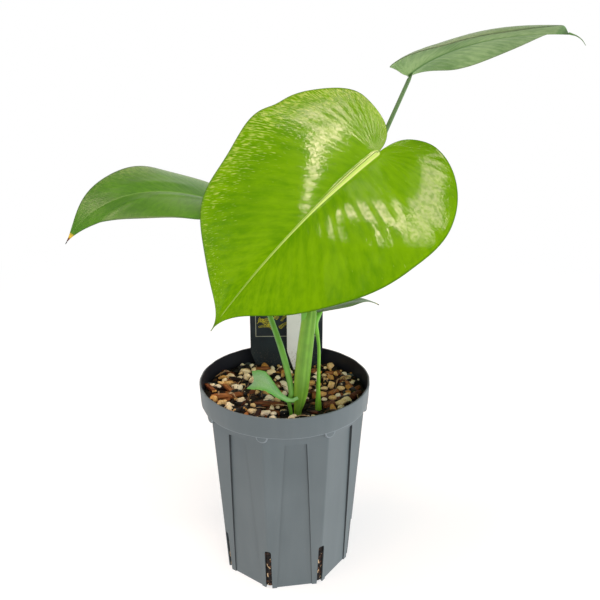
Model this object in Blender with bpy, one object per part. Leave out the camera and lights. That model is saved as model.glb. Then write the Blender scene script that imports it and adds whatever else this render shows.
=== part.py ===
"""A young monstera in a tall grey nursery pot.

The pot is one moulding: an octagonal tapered wall under a round collar, with a recessed wedge panel
in every face, a small gusset under the collar at every corner and a drainage slot up every bottom
corner. The potting mix fills it, with stones and bark chips proud of its top, and the feet of the
stems and of the two labels stand in holes in it. Four heart-shaped leaves grow on stalks from the
stems, and a small blunt first leaf sits at the foot.

The origin is the centre of the pot's underside, +Z is up, and one flat face of the pot looks to -Y.
"""

import math
import random

import bpy
import bmesh
from mathutils import Matrix, Vector

MM = 0.001
GAP = 0.3 * MM            # left between pieces that touch

# Pot
POT_HEIGHT = 144 * MM
RIM_RADIUS = 60 * MM
COLLAR_HEIGHT = 15.3 * MM
COLLAR_DRAFT = 0.8 * MM   # the collar is this much smaller in radius at its lower edge
CORNER_RADIUS_TOP = 57.3 * MM      # centre to octagon corner, under the collar
CORNER_RADIUS_BOTTOM = 48.4 * MM
WALL = 1.2 * MM
FLOOR = 1.5 * MM
PANEL_DEPTH = 1.6 * MM
PANEL_TOP_BELOW_COLLAR = 4.5 * MM
PANEL_SHARE_TOP = 0.32    # panel width over face width
PANEL_SHARE_BOTTOM = 0.80
SLOT_WIDTH = 4.0 * MM
SLOT_HEIGHT = 28 * MM
SLOT_REACH = 14 * MM      # how far the slot runs in under the floor from the corner
GUSSET_RADIUS = 3.8 * MM
FACES = 8
ROUND_SIDES = 64

COLLAR_BASE = POT_HEIGHT - COLLAR_HEIGHT
LEDGE_TOP = COLLAR_BASE + WALL
COLLAR_INSIDE = RIM_RADIUS - WALL - 0.2 * MM

# Potting mix
SOIL_TOP = 132.3 * MM
STEM_DEPTH = 14 * MM      # how deep the stems stand in the mix
HOLE_RISE = 12 * MM       # how far the holes' cutters stand clear above it
TAG_DEPTH = 18 * MM
CHUNK_COUNT = 150
CHUNK_RADIUS = (2.3 * MM, 3.6 * MM)
CHIP_EVERY = 3            # every third chunk is a long bark chip
CHIP_STRETCH = 1.75

# Leaf blades and stalks
BLADE = 0.8 * MM
MARGIN_STEPS = 20         # stations from the sinus round the lobe to the tip
VEIN_STEPS = 3            # steps from the midrib to the margin
STALK_SIDES = 8
HUB_INSET = 1.4           # millimetres along the midrib from the hub to where the stalk's top stands
ROUNDNESS = 0.5523        # handle length of a cubic that draws a quarter circle

# Labels
TAG_WIDTH = 55 * MM
TAG_SPIKE_WIDTH = 34 * MM
TAG_ABOVE_SOIL = 76 * MM
TAG_TAPER_TOP = 12 * MM    # above the soil, where the spike has widened to the full tag
LABEL_WIDTH = 17 * MM
LABEL_POINT = 24 * MM       # length of the pointed end
LABEL_ABOVE_SOIL = 74 * MM
LABEL_TIP_DEPTH = 9 * MM
LABEL_THICK = 0.8 * MM
VIEW_TURN = math.radians(-7.5)     # the plant and labels face this far round from the pot's face


def clear_scene():
    for thing in list(bpy.data.objects):
        bpy.data.objects.remove(thing, do_unlink=True)


def make_material(name, colour, roughness):
    """A Principled material with a linear colour."""
    material = bpy.data.materials.new(name)
    material.use_nodes = True
    shader = material.node_tree.nodes["Principled BSDF"]
    shader.inputs["Base Color"].default_value = (*colour, 1.0)
    shader.inputs["Roughness"].default_value = roughness
    shader.inputs["Metallic"].default_value = 0.0
    return material


def add_object(name, mesh, material=None):
    thing = bpy.data.objects.new(name, mesh)
    bpy.context.scene.collection.objects.link(thing)
    if material:
        mesh.materials.append(material)
    return thing


def mesh_from(name, vertices, faces):
    mesh = bpy.data.meshes.new(name)
    mesh.from_pydata([tuple(v) for v in vertices], [], faces)
    mesh.validate()
    return mesh


def loft(name, rings, material=None):
    """A closed solid through equal rings of points, listed counter-clockwise from the bottom up."""
    sides = len(rings[0])
    vertices = [point for ring in rings for point in ring]
    faces = [tuple(reversed(range(sides)))]
    for level in range(len(rings) - 1):
        low = level * sides
        for k in range(sides):
            after = (k + 1) % sides
            faces.append((low + k, low + after, low + sides + after, low + sides + k))
    faces.append(tuple(range((len(rings) - 1) * sides, len(rings) * sides)))
    return add_object(name, mesh_from(name, vertices, faces), material)


def bake_modifiers(thing):
    """Make the evaluated mesh the object's own."""
    bpy.context.view_layer.update()
    graph = bpy.context.evaluated_depsgraph_get()
    mesh = bpy.data.meshes.new_from_object(thing.evaluated_get(graph))
    thing.modifiers.clear()
    thing.data = mesh


def combine(target, tools, operation):
    """One Boolean of the target with a list of tool objects, which are then removed."""
    collection = bpy.data.collections.new("tools")
    bpy.context.scene.collection.children.link(collection)
    for tool in tools:
        collection.objects.link(tool)
    modifier = target.modifiers.new(operation.lower(), "BOOLEAN")
    modifier.operation = operation
    modifier.operand_type = "COLLECTION"
    modifier.collection = collection
    modifier.solver = "EXACT"
    bake_modifiers(target)
    for tool in tools:
        bpy.data.objects.remove(tool, do_unlink=True)
    bpy.data.collections.remove(collection)


# Pot
def corner_radius(z):
    """Centre to the octagon's outer corner at height z."""
    share = z / COLLAR_BASE
    return CORNER_RADIUS_BOTTOM + (CORNER_RADIUS_TOP - CORNER_RADIUS_BOTTOM) * share


def face_distance(z):
    """Centre to the middle of an outer face at height z."""
    return corner_radius(z) * math.cos(math.pi / FACES)


def octagon(z, inset=0.0):
    radius = (face_distance(z) - inset) / math.cos(math.pi / FACES)
    angles = [math.tau * (k + 0.5) / FACES for k in range(FACES)]
    return [Vector((radius * math.cos(a), radius * math.sin(a), z)) for a in angles]


def circle(z, radius):
    angles = [math.tau * (k + 0.5) / ROUND_SIDES for k in range(ROUND_SIDES)]
    return [Vector((radius * math.cos(a), radius * math.sin(a), z)) for a in angles]


def panel_block(face, depth, widen, low, high):
    """The wedge that stands in one face, from `depth` inside the face to well outside the wall."""
    outward = 6 * MM
    rings = []
    for z in (low, high):
        share = z / (COLLAR_BASE - PANEL_TOP_BELOW_COLLAR)
        width_share = PANEL_SHARE_BOTTOM + (PANEL_SHARE_TOP - PANEL_SHARE_BOTTOM) * share
        half = width_share * face_distance(z) * math.tan(math.pi / FACES) + widen
        near = face_distance(z) - depth
        far = face_distance(z) + outward
        rings.append([Vector(p) for p in ((near, -half, z), (far, -half, z), (far, half, z), (near, half, z))])
    block = loft("panel block", rings)
    block.data.transform(Matrix.Rotation(math.tau * face / FACES, 4, "Z"))
    return block


def slot_cutter(corner):
    """A slot with a round top through the wall at one corner and on under the floor."""
    half = SLOT_WIDTH / 2
    inner = CORNER_RADIUS_BOTTOM - SLOT_REACH
    outer = CORNER_RADIUS_TOP
    arch = [(half * math.cos(a), SLOT_HEIGHT - half + half * math.sin(a))
            for a in [math.pi * k / 6 for k in range(7)]]
    outline = [(-half, -2 * MM), (half, -2 * MM)] + arch
    rings = [[Vector((x, y, z)) for y, z in outline] for x in (inner, outer)]
    cutter = loft("slot", rings)
    cutter.data.transform(Matrix.Rotation(math.tau * (corner + 0.5) / FACES, 4, "Z"))
    return cutter


def gusset(corner):
    """A short round boss under the collar, its axis pointing out through the corner."""
    sides = 16
    rings = []
    for x in (CORNER_RADIUS_TOP - 4 * MM, RIM_RADIUS - COLLAR_DRAFT - 0.4 * MM):
        rings.append([Vector((x, GUSSET_RADIUS * math.cos(a), COLLAR_BASE + GUSSET_RADIUS * math.sin(a)))
                      for a in [math.tau * k / sides for k in range(sides)]])
    boss = loft("gusset", rings)
    boss.data.transform(Matrix.Rotation(math.tau * (corner + 0.5) / FACES, 4, "Z"))
    return boss


def inside_of_pot(name, clearance, bottom, top):
    """The octagonal space within the wall, less the backs of the panels, drawn in by `clearance`."""
    inset = WALL + clearance
    space = loft(name, [octagon(bottom, inset), octagon(top, inset)])
    panel_top = COLLAR_BASE - PANEL_TOP_BELOW_COLLAR + WALL + clearance
    depth = PANEL_DEPTH + inset
    blocks = [panel_block(face, depth, inset, -5 * MM, panel_top) for face in range(FACES)]
    combine(space, blocks, "DIFFERENCE")
    return space


def make_pot(material):
    pot = loft("pot", [octagon(0.0), octagon(LEDGE_TOP)], material)
    lower_radius = RIM_RADIUS - COLLAR_DRAFT
    lip = 0.4 * MM
    collar = loft("collar", [circle(COLLAR_BASE, lower_radius),
                             circle(POT_HEIGHT - lip, RIM_RADIUS),
                             circle(POT_HEIGHT, RIM_RADIUS - lip)])
    combine(pot, [collar] + [gusset(corner) for corner in range(FACES)], "UNION")
    panel_top = COLLAR_BASE - PANEL_TOP_BELOW_COLLAR
    panels = [panel_block(face, PANEL_DEPTH, 0.0, -5 * MM, panel_top) for face in range(FACES)]
    combine(pot, panels, "DIFFERENCE")
    space = inside_of_pot("space", 0.0, FLOOR, LEDGE_TOP + 0.5 * MM)
    mouth = loft("mouth", [circle(LEDGE_TOP, COLLAR_INSIDE),
                           circle(POT_HEIGHT - lip, COLLAR_INSIDE + 0.1 * MM),
                           circle(POT_HEIGHT + MM, COLLAR_INSIDE + 1.2 * MM)])
    combine(pot, [space, mouth], "DIFFERENCE")
    combine(pot, [slot_cutter(corner) for corner in range(FACES)], "DIFFERENCE")
    return pot


# Curves and stalks
def smooth_path(points, steps):
    """Points along a Catmull-Rom curve through the given points."""
    knots = [Vector(p) for p in points]
    knots = [knots[0] * 2 - knots[1]] + knots + [knots[-1] * 2 - knots[-2]]
    path = []
    for k in range(1, len(knots) - 2):
        a, b, c, d = knots[k - 1:k + 3]
        for step in range(steps):
            t = step / steps
            path.append(0.5 * (2 * b + (c - a) * t + (2 * a - 5 * b + 4 * c - d) * t * t
                               + (3 * b - 3 * c + d - a) * t ** 3))
    path.append(knots[-2])
    return path


def tube(name, points, radii, material, steps=3, flatten=1.0, end_along=None):
    """A closed tube through the points, its radius running smoothly through the radii.

    `flatten` is its depth away from the viewer over its width, and `end_along` the direction that
    its end cap faces, where that isn't the direction of its path.
    """
    path = smooth_path([Vector(p) * MM for p in points], steps)
    widths = smooth_path([Vector((r, 0, 0)) * MM for r in radii], steps)
    side = Matrix.Rotation(VIEW_TURN, 3, "Z") @ Vector((1, 0, 0))
    rings = []
    for k, point in enumerate(path):
        along = (path[min(k + 1, len(path) - 1)] - path[max(k - 1, 0)]).normalized()
        if end_along and k == len(path) - 1:
            along = end_along
        across = (side - along * side.dot(along)).normalized()
        back = along.cross(across)
        radius = widths[k].x
        rings.append([point + across * radius * math.cos(a) + back * radius * flatten * math.sin(a)
                      for a in [math.tau * j / STALK_SIDES for j in range(STALK_SIDES)]])
    stalk = loft(name, rings, material)
    stalk.data.shade_smooth()
    return stalk


# Leaf blades
# Angles are in degrees and lengths in millimetres. A half blade is drawn by its extremes: how far its
# lobe reaches behind the hub (the point where the stalk joins), how far out that rearmost point is,
# how far along the midrib the half is widest, that half width, the handles that carry the curve from
# there into the drawn-out tip, and its dents: each a place along the margin, a depth and a breadth.
LEAVES = {
    "large_leaf": {
        "hub": (59.6, -5.0, 299.6), "heading": -165.0, "turn": -6.0, "rise": -34.0, "fall": -52.0,
        "bend": 1.0, "length": 155.5, "roll": -38.0, "twist": 14.0, "trough": 7.5, "dome": 5.0, "cup": -5.0,
        "left": {"back": 28.5, "out": 24.5, "widest": 35, "half": 77.5, "shoulder": 87, "drip": 28,
                 "full": 0.55, "dents": []},
        "right": {"back": 24, "out": 39, "widest": 46, "half": 88, "shoulder": 79, "drip": 27,
                  "full": 0.50, "dents": [(0.45, 1.8, 0.03), (0.54, 6.5, 0.075)]},
        "wave": 1.3, "waves": 5},
    "left_leaf": {
        "hub": (-34.6, 77.0, 253.9), "heading": 199.0, "turn": 6.5, "rise": 21.0, "fall": -57.0,
        "bend": 1.7, "length": 130.0, "roll": -11.0, "twist": -17.5, "trough": 7.0, "dome": 5.5, "cup": 4.0,
        "left": {"back": 15, "out": 19, "widest": 36, "half": 40.5, "shoulder": 38.5, "drip": 13,
                 "full": 0.55, "dents": []},
        "right": {"back": 15, "out": 19, "widest": 39, "half": 43, "shoulder": 38.5, "drip": 22,
                  "full": 0.55, "dents": []},
        "wave": 0.8, "waves": 4},
    "upper_leaf": {
        "hub": (86.0, 18.6, 346.9), "heading": -22.0, "turn": 6.0, "rise": 48.0, "fall": -3.0,
        "bend": 0.5, "length": 104.0, "roll": -14.5, "twist": 9.5, "trough": 16.0, "dome": 19.0, "cup": 4.5,
        "left": {"back": 2, "out": 12, "widest": 48, "half": 45.5, "shoulder": 48.5, "drip": 7.5,
                 "full": 0.46, "dents": []},
        "right": {"back": 2, "out": 11, "widest": 58, "half": 42, "shoulder": 39, "drip": 7,
                  "full": 1.15, "dents": []},
        "wave": 0.3, "waves": 4},
    "small_leaf": {
        "hub": (20.8, -14.0, 199.3), "heading": 10.0, "turn": 0.0, "rise": 8.0, "fall": -36.0,
        "bend": 3.0, "length": 46.0, "roll": -3.0, "twist": 0.0, "trough": 8.0, "dome": 2.0, "cup": 0.0,
        "left": {"back": 3, "out": 4, "widest": 15, "half": 11, "shoulder": 14, "drip": 9,
                 "full": 0.55, "dents": []},
        "right": {"back": 3, "out": 4, "widest": 15, "half": 9, "shoulder": 14, "drip": 9,
                  "full": 0.55, "dents": []},
        "wave": 0.3, "waves": 3},
}
CUP_REACH = 0.3           # the cupping round the hub dies out at this share of the length
FAN_SHARE = 0.4           # this first share of the margin is served by veins from the hub


def cubic(p0, p1, p2, p3, t):
    s = 1 - t
    return p0 * s ** 3 + p1 * 3 * t * s * s + p2 * 3 * t * t * s + p3 * t ** 3


def margin_point(half, length, t):
    """A point of the flat half blade's edge: x along the midrib from the hub, y out from it."""
    hub = Vector((0, 0))
    rear = Vector((-half["back"], half["out"]))
    wide = Vector((half["widest"], half["half"]))
    tip = Vector((length, 0))
    if t < 0.25:
        return cubic(hub, hub + Vector((-0.75 * half["back"], 0.02 * half["out"])),
                     rear - Vector((0, ROUNDNESS * half["out"])), rear, t * 4)
    if t < 0.5:
        return cubic(rear, rear + Vector((0, half["full"] * (half["half"] - half["out"]))),
                     wide - Vector((half["full"] * (half["widest"] + half["back"]), 0)), wide, t * 4 - 1)
    return cubic(wide, wide + Vector((half["shoulder"], 0)), tip - Vector((half["drip"], 0)), tip, t * 2 - 1)


def dented_margin_point(half, length, t):
    point = margin_point(half, length, t)
    step = 0.01
    run = margin_point(half, length, min(t + step, 1)) - margin_point(half, length, max(t - step, 0))
    inward = Vector((run.y, -run.x)).normalized()
    dip = sum(depth * math.exp(-((t - place) / breadth) ** 2) for place, depth, breadth in half["dents"])
    return point + inward * dip


def spine(leaf, along):
    """The midrib's point and its forward and left directions, `along` millimetres from the hub."""
    length = leaf["length"]
    steps = 24
    point = Vector((0, 0, 0))
    for k in range(steps + 1):
        share = max(0.0, along / length) * k / steps
        bend = share ** leaf["bend"] if share > 0 else 0.0
        slope = math.radians(leaf["rise"] + (leaf["fall"] - leaf["rise"]) * bend)
        heading = math.radians(leaf["heading"] + leaf["turn"] * bend)
        forward = Vector((math.cos(slope) * math.cos(heading), math.cos(slope) * math.sin(heading),
                          math.sin(slope)))
        weight = 0.5 if k in (0, steps) else 1.0
        point += forward * along / steps * weight
    roll = math.radians(leaf["roll"] + leaf["twist"] * share)
    level = Vector((-math.sin(heading), math.cos(heading), 0))
    left = level * math.cos(roll) + forward.cross(level) * math.sin(roll)
    return Vector(leaf["hub"]) + point, forward, left


def blade_point(leaf, side, t, reach):
    """A point of the blade: side is 1 for the left half and -1 for the right, t runs along the
    margin from the sinus to the tip, and reach runs from 0 at the midrib to 1 at the margin."""
    half = leaf["left"] if side > 0 else leaf["right"]
    edge = dented_margin_point(half, leaf["length"], t)
    root = leaf["length"] * (max(0.0, t - FAN_SHARE) / (1 - FAN_SHARE)) ** 1.2
    along = root + (edge.x - root) * reach
    out = edge.y * reach
    point, forward, left = spine(leaf, along)
    up = forward.cross(left)
    fade = min(max(1 - along / (CUP_REACH * leaf["length"]), 0.0), 1.0)
    cupping = leaf["cup"] * fade * fade * (3 - 2 * fade)
    lift = out * math.tan(math.radians(leaf["trough"] + cupping))
    lift -= leaf["dome"] * (out / leaf["left"]["half"]) ** 2
    lift += leaf["wave"] * math.sin(math.tau * leaf["waves"] * t) * math.sin(math.pi * t) * reach ** 3
    return point + left * (side * out) + up * lift


def blade_surface(leaf):
    """Vertices and triangles of the blade's middle surface, its upper side facing out."""
    vertices = []
    rows = {}
    index_of = {}
    for side in (1, -1):
        for i in range(MARGIN_STEPS + 1):
            t = i / MARGIN_STEPS
            row = []
            for j in range(VEIN_STEPS + 1):
                key = (side, i, j)
                if i == 0 or (j == 0 and t <= FAN_SHARE):
                    key = "hub"
                elif i == MARGIN_STEPS:
                    key = "tip"
                elif j == 0:
                    key = ("midrib", i)
                if key not in index_of:
                    index_of[key] = len(vertices)
                    vertices.append(blade_point(leaf, side, t, j / VEIN_STEPS) * MM)
                row.append(index_of[key])
            rows[side, i] = row
    faces = []
    for side in (1, -1):
        for i in range(MARGIN_STEPS):
            for j in range(VEIN_STEPS):
                a, b = rows[side, i][j:j + 2]
                d, c = rows[side, i + 1][j:j + 2]
                for corner in ((a, d, c), (a, c, b)):
                    if len(set(corner)) == 3:
                        faces.append(corner if side > 0 else tuple(reversed(corner)))
    return vertices, faces


def make_blade(name, material):
    vertices, faces = blade_surface(LEAVES[name])
    blade = add_object(name, mesh_from(name, vertices, faces), material)
    thicken(blade, BLADE)
    return blade


def thicken(sheet, thickness):
    sheet.data.shade_smooth()
    solid = sheet.modifiers.new("thickness", "SOLIDIFY")
    solid.thickness = thickness
    solid.offset = 0.0
    solid.use_rim = True


def stalk_to(name, leaf_name, points, radii, knee, material):
    """A stalk that ends just below its blade, with its cap along the blade's underside.

    Its last `knee` millimetres run square to the blade.
    """
    point, forward, left = spine(LEAVES[leaf_name], HUB_INSET)
    up = forward.cross(left)
    end = point - up * (BLADE / 2 + 1.5 * GAP) / MM
    bend = [end - up * knee] if knee else []
    return tube(name, points + bend + [end], radii, material, end_along=up)


def first_leaf(material):
    """The small blunt leaf at the foot: a strap that widens to a notched end."""
    path = [(5.6, -38.5, 146.9), (-1.5, -38.9, 145.2), (-8.5, -37, 149), (-15, -33.5, 154.5),
            (-20.5, -29.5, 157), (-25.5, -26, 156)]
    half_widths = (1.1, 1.6, 3.2, 6.6, 8.2, 6.4)
    tilt = math.radians(38)
    steps = 2
    spine_points = smooth_path([Vector(p) * MM for p in path], steps)
    widths = [w.x * MM for w in smooth_path([Vector((w, 0, 0)) for w in half_widths], steps)]
    columns = 4
    notch = 2.6 * MM
    vertices = []
    for k, point in enumerate(spine_points):
        forward = (spine_points[min(k + 1, len(spine_points) - 1)] - spine_points[max(k - 1, 0)]).normalized()
        level = Vector((-forward.y, forward.x, 0)).normalized()
        left = level * math.cos(tilt) - forward.cross(level) * math.sin(tilt)
        up = forward.cross(left)
        for c in range(columns + 1):
            across = 2 * c / columns - 1
            place = point + left * across * widths[k] + up * 0.25 * widths[k] * (across ** 2 - 0.4)
            if k == len(spine_points) - 1:
                place -= forward * notch * math.cos(math.pi * across) * 0.5
            vertices.append(place)
    faces = []
    for k in range(len(spine_points) - 1):
        for c in range(columns):
            a = k * (columns + 1) + c
            b = a + columns + 1
            faces += [(a, b, b + 1), (a, b + 1, a + 1)]
    leaf = add_object("basal_leaf", mesh_from("basal_leaf", vertices, faces), material)
    thicken(leaf, BLADE)
    return leaf


# Labels
def label_plate(name, centre, outline, material):
    """A thin upright plate facing the viewer; the outline is (across, height) in metres."""
    half = LABEL_THICK / 2
    rings = [[Vector((x, y, z)) for x, z in outline] for y in (half, -half)]
    plate = loft(name, rings, material)
    plate.matrix_world = Matrix.Translation(centre) @ Matrix.Rotation(VIEW_TURN, 4, "Z")
    return plate


def tag_outline(grow=0.0):
    half = TAG_WIDTH / 2 + grow
    spike = TAG_SPIKE_WIDTH / 2 + grow
    return [(-spike, SOIL_TOP - TAG_DEPTH - grow), (spike, SOIL_TOP - TAG_DEPTH - grow),
            (half, SOIL_TOP + TAG_TAPER_TOP), (half, SOIL_TOP + TAG_ABOVE_SOIL),
            (-half, SOIL_TOP + TAG_ABOVE_SOIL), (-half, SOIL_TOP + TAG_TAPER_TOP)]


def name_label_outline(grow=0.0):
    half = LABEL_WIDTH / 2 + grow
    tip = SOIL_TOP - LABEL_TIP_DEPTH - grow
    top = SOIL_TOP + LABEL_ABOVE_SOIL
    return [(-0.1 * half, tip), (0.1 * half, tip), (half, tip + LABEL_POINT), (half, top), (-half, top),
            (-half, tip + LABEL_POINT)]


def view_place(across, away):
    """A place on plan given across and away from the viewer, who looks a little from one side."""
    return Matrix.Rotation(VIEW_TURN, 3, "Z") @ Vector((across * MM, away * MM, 0))


TAG_PLACE = view_place(1.5, 45.0)
LABEL_PLACE = view_place(10.3, 39.2)


# Potting mix
def chunk(number, rng):
    """One stone or bark chip, with few sides, sunk by half into the top of the mix."""
    work = bmesh.new()
    bmesh.ops.create_icosphere(work, subdivisions=1, radius=1.0)
    size = rng.uniform(*CHUNK_RADIUS)
    stretch = Vector((1.15, 0.95, 0.8))
    if number % CHIP_EVERY == 0:
        stretch = Vector((CHIP_STRETCH, 0.85, 0.6))
    for vertex in work.verts:
        vertex.co = Vector([vertex.co[k] * stretch[k] * size * rng.uniform(0.86, 1.1) for k in range(3)])
    tilt = Matrix.Rotation(rng.uniform(-0.5, 0.5), 4, "X") @ Matrix.Rotation(rng.uniform(-0.35, 0.35), 4, "Y")
    turn = Matrix.Rotation(rng.uniform(0, math.tau), 4, "Z")
    work.transform(turn @ tilt)
    mesh = bpy.data.meshes.new("chunk")
    work.to_mesh(mesh)
    work.free()
    return mesh, size * max(stretch)


def make_potting_mix(holes, material):
    rng = random.Random(7)
    mix = inside_of_pot("potting_mix", GAP, FLOOR + GAP, LEDGE_TOP + GAP)
    mix.data.materials.append(material)
    spread = COLLAR_INSIDE - GAP
    cover = loft("cover", [circle(LEDGE_TOP + GAP, spread), circle(SOIL_TOP, spread)])
    golden = math.pi * (3 - math.sqrt(5))
    chunks = []
    for number in range(CHUNK_COUNT):
        mesh, reach = chunk(number, rng)
        radius = (spread - reach - 0.2 * MM) * math.sqrt((number + 0.5) / CHUNK_COUNT)
        angle = number * golden
        height = SOIL_TOP + rng.uniform(-0.4, 1.4) * MM
        stone = add_object("chunk", mesh)
        mesh.transform(Matrix.Translation((radius * math.cos(angle), radius * math.sin(angle), height)))
        chunks.append(stone)
    combine(mix, [cover] + chunks, "UNION")
    combine(mix, holes, "DIFFERENCE")
    return mix


def stem_hole(place, radius):
    """A plain hole that a stem's foot stands in, with a gap all round."""
    sides = 16
    wide = radius * MM + GAP
    angles = [math.tau * (k + 0.5) / sides for k in range(sides)]
    rings = []
    for z in (SOIL_TOP - STEM_DEPTH - GAP, SOIL_TOP + HOLE_RISE):
        rings.append([Vector((place[0] * MM + wide * math.cos(a), place[1] * MM + wide * math.sin(a), z))
                      for a in angles])
    return loft("hole", rings)


# Feet of the stems on plan, and their radii there, in millimetres
MAIN_FOOT, MAIN_FOOT_RADIUS = (4.0, -33.5), 2.5
LEFT_FOOT, LEFT_FOOT_RADIUS = (-0.4, -33.5), 1.2
RIGHT_FOOT, RIGHT_FOOT_RADIUS = (19.2, -27.5), 1.9


def foot(place):
    """The two points that carry a stem straight down into the mix."""
    bottom = (SOIL_TOP - STEM_DEPTH) / MM
    return [(*place, bottom), (*place, SOIL_TOP / MM + 1)]


def main():
    clear_scene()
    pot_plastic = make_material("pot_plastic", (0.17, 0.19, 0.20), 0.45)
    bark_and_stone = make_material("bark_and_stone", (0.19, 0.12, 0.07), 0.9)
    stem_green = make_material("stem_green", (0.22, 0.42, 0.07), 0.45)
    young_leaf = make_material("young_leaf", (0.24, 0.45, 0.01), 0.3)
    old_leaf = make_material("old_leaf", (0.06, 0.18, 0.04), 0.35)
    pale_leaf = make_material("pale_leaf", (0.22, 0.48, 0.16), 0.4)
    black_card = make_material("black_card", (0.02, 0.02, 0.025), 0.35)
    white_plastic = make_material("white_plastic", (0.75, 0.77, 0.74), 0.4)

    make_pot(pot_plastic)

    holes = [stem_hole(MAIN_FOOT, MAIN_FOOT_RADIUS), stem_hole(LEFT_FOOT, LEFT_FOOT_RADIUS),
             stem_hole(RIGHT_FOOT, RIGHT_FOOT_RADIUS)]
    for place, outline in ((TAG_PLACE, tag_outline(GAP)), (LABEL_PLACE, name_label_outline(GAP))):
        half = LABEL_THICK / 2 + GAP
        hole = loft("hole", [[Vector((x, y, z)) for x, z in outline] for y in (half, -half)])
        hole.data.transform(Matrix.Translation(place) @ Matrix.Rotation(VIEW_TURN, 4, "Z"))
        holes.append(hole)
    make_potting_mix(holes, bark_and_stone)

    tube("main_stem",
         foot(MAIN_FOOT) + [(5.2, -33.6, 141), (6.4, -33.6, 151), (8.6, -32.8, 174), (11.2, -31.8, 196)],
         (MAIN_FOOT_RADIUS, MAIN_FOOT_RADIUS, 3.4, 4.7, 5.2, 4.6), stem_green, flatten=0.8)
    stalk_to("large_leaf_stalk", "large_leaf",
             [(9.0, -31.8, 196.5), (10.2, -30.5, 213), (21, -22, 246), (44, -7, 279)],
             (2.4, 2.4, 2.3, 2.1, 2.0, 1.9), 9, stem_green)
    stalk_to("upper_leaf_stalk", "upper_leaf",
             [(13.9, -31.4, 196.5), (18, -26, 210), (43, -1, 260), (72.4, 20, 311.8)],
             (1.6, 1.7, 1.7, 1.5, 1.3), 0, stem_green)
    stalk_to("left_leaf_stalk", "left_leaf",
             foot(LEFT_FOOT) + [(-1.7, -33.5, 142), (-0.2, -32.5, 151), (-4.3, -21, 173), (-10.3, 0, 192.5),
                                (-20, 40, 225)],
             (LEFT_FOOT_RADIUS, LEFT_FOOT_RADIUS, 1.4, 1.9, 2.1, 1.8, 1.7, 1.6, 1.5), 10, stem_green)
    stalk_to("small_leaf_stalk", "small_leaf",
             foot(RIGHT_FOOT) + [(19.2, -26.5, 146), (20.3, -22, 171), (19.6, -19.5, 183),
                                 (18.0, -17, 191)],
             (RIGHT_FOOT_RADIUS, RIGHT_FOOT_RADIUS, 1.3, 0.9, 1.3, 2.7, 1.6, 1.3), 1.5, stem_green)

    make_blade("large_leaf", young_leaf)
    make_blade("left_leaf", old_leaf)
    make_blade("upper_leaf", old_leaf)
    make_blade("small_leaf", old_leaf)
    first_leaf(pale_leaf)

    label_plate("picture_tag", TAG_PLACE, tag_outline(), black_card)
    label_plate("name_label", LABEL_PLACE, name_label_outline(), white_plastic)


main()
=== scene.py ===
"""A young monstera in a grey nursery pot, dressed around its CAD frame.

Each CAD node gets a finer mesh that keeps its form: the pot, the potting mix, the leaves, the stalks
that end at them, and the two labels. Lengths are millimetres times MM, unless a comment says otherwise.
"""

import math
import random

import bpy
import bmesh
from mathutils import Matrix, Vector, noise


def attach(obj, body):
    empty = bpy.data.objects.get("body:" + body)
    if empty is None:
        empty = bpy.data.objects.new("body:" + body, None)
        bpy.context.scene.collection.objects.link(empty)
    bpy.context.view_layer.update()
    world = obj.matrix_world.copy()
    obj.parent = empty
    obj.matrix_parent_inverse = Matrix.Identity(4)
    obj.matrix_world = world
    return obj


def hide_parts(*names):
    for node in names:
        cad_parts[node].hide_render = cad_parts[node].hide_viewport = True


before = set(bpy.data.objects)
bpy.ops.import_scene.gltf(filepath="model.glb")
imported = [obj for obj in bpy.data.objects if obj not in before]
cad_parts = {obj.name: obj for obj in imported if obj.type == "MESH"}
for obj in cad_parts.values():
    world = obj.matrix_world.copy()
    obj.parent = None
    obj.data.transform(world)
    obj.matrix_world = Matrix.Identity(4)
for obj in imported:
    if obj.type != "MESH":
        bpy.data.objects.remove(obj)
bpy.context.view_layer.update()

# Camera
# A phone held a little above the pot's rim and a little to the left of its front face.
MM = 0.001
CAMERA_PLACE = Vector((-58.6, -446.2, 360.9)) * MM
CAMERA_TURN = -8.85       # degrees from +Y
CAMERA_DIP = 19.45        # degrees below level
CAMERA_LENS = 42.08       # millimetres on a 36 mm sensor

camera_data = bpy.data.cameras.new("camera")
camera_data.lens = CAMERA_LENS
camera_data.sensor_width = 36
camera_data.clip_start = 0.01
camera = bpy.data.objects.new("camera", camera_data)
camera.location = CAMERA_PLACE
camera.rotation_euler = (math.radians(90 - CAMERA_DIP), 0, math.radians(CAMERA_TURN))
bpy.context.scene.collection.objects.link(camera)
bpy.context.scene.camera = camera

# Nursery pot
# One injection moulding in grey polypropylene with a black lining: an octagonal wall that tapers
# down, a recessed wedge in each face, a drainage slot up each bottom corner, and a round collar.
POT_HEIGHT = 144 * MM
RIM_RADIUS = 60 * MM
COLLAR_BASE = 128.7 * MM
COLLAR_LOWER_RADIUS = 59.2 * MM
CORNER_RADIUS_TOP = 57.3 * MM      # centre to corner, under the collar
CORNER_RADIUS_BOTTOM = 48.4 * MM
CORNER_FILLET = 2.2 * MM
WALL = 1.2 * MM
POT_FLOOR = 1.5 * MM
LEDGE_TOP = COLLAR_BASE + WALL
COLLAR_INSIDE = RIM_RADIUS - WALL - 0.2 * MM
PANEL_DEPTH = 1.6 * MM             # at the panel's top
PANEL_DEPTH_LOW = 0.7 * MM
PANEL_TOP = COLLAR_BASE - 8.5 * MM
PANEL_SHARE = (0.67, 0.33)         # of the face's width, at the bottom and the top
PANEL_STEP = 0.15 * MM             # how wide the slope at the panel's edge is
PANEL_SURROUND = 1.2 * MM          # the least flat strip between a panel and the corner's fillet
RECESS_WALLS = (5, 14)             # which strips of one face's ring are the two side walls of its panel
FACES = 8
EIGHTH = math.tau / FACES
SLOT_WIDTH = 4.6 * MM
SLOT_HEIGHT = 34 * MM
SLOT_REACH = 14 * MM
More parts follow.
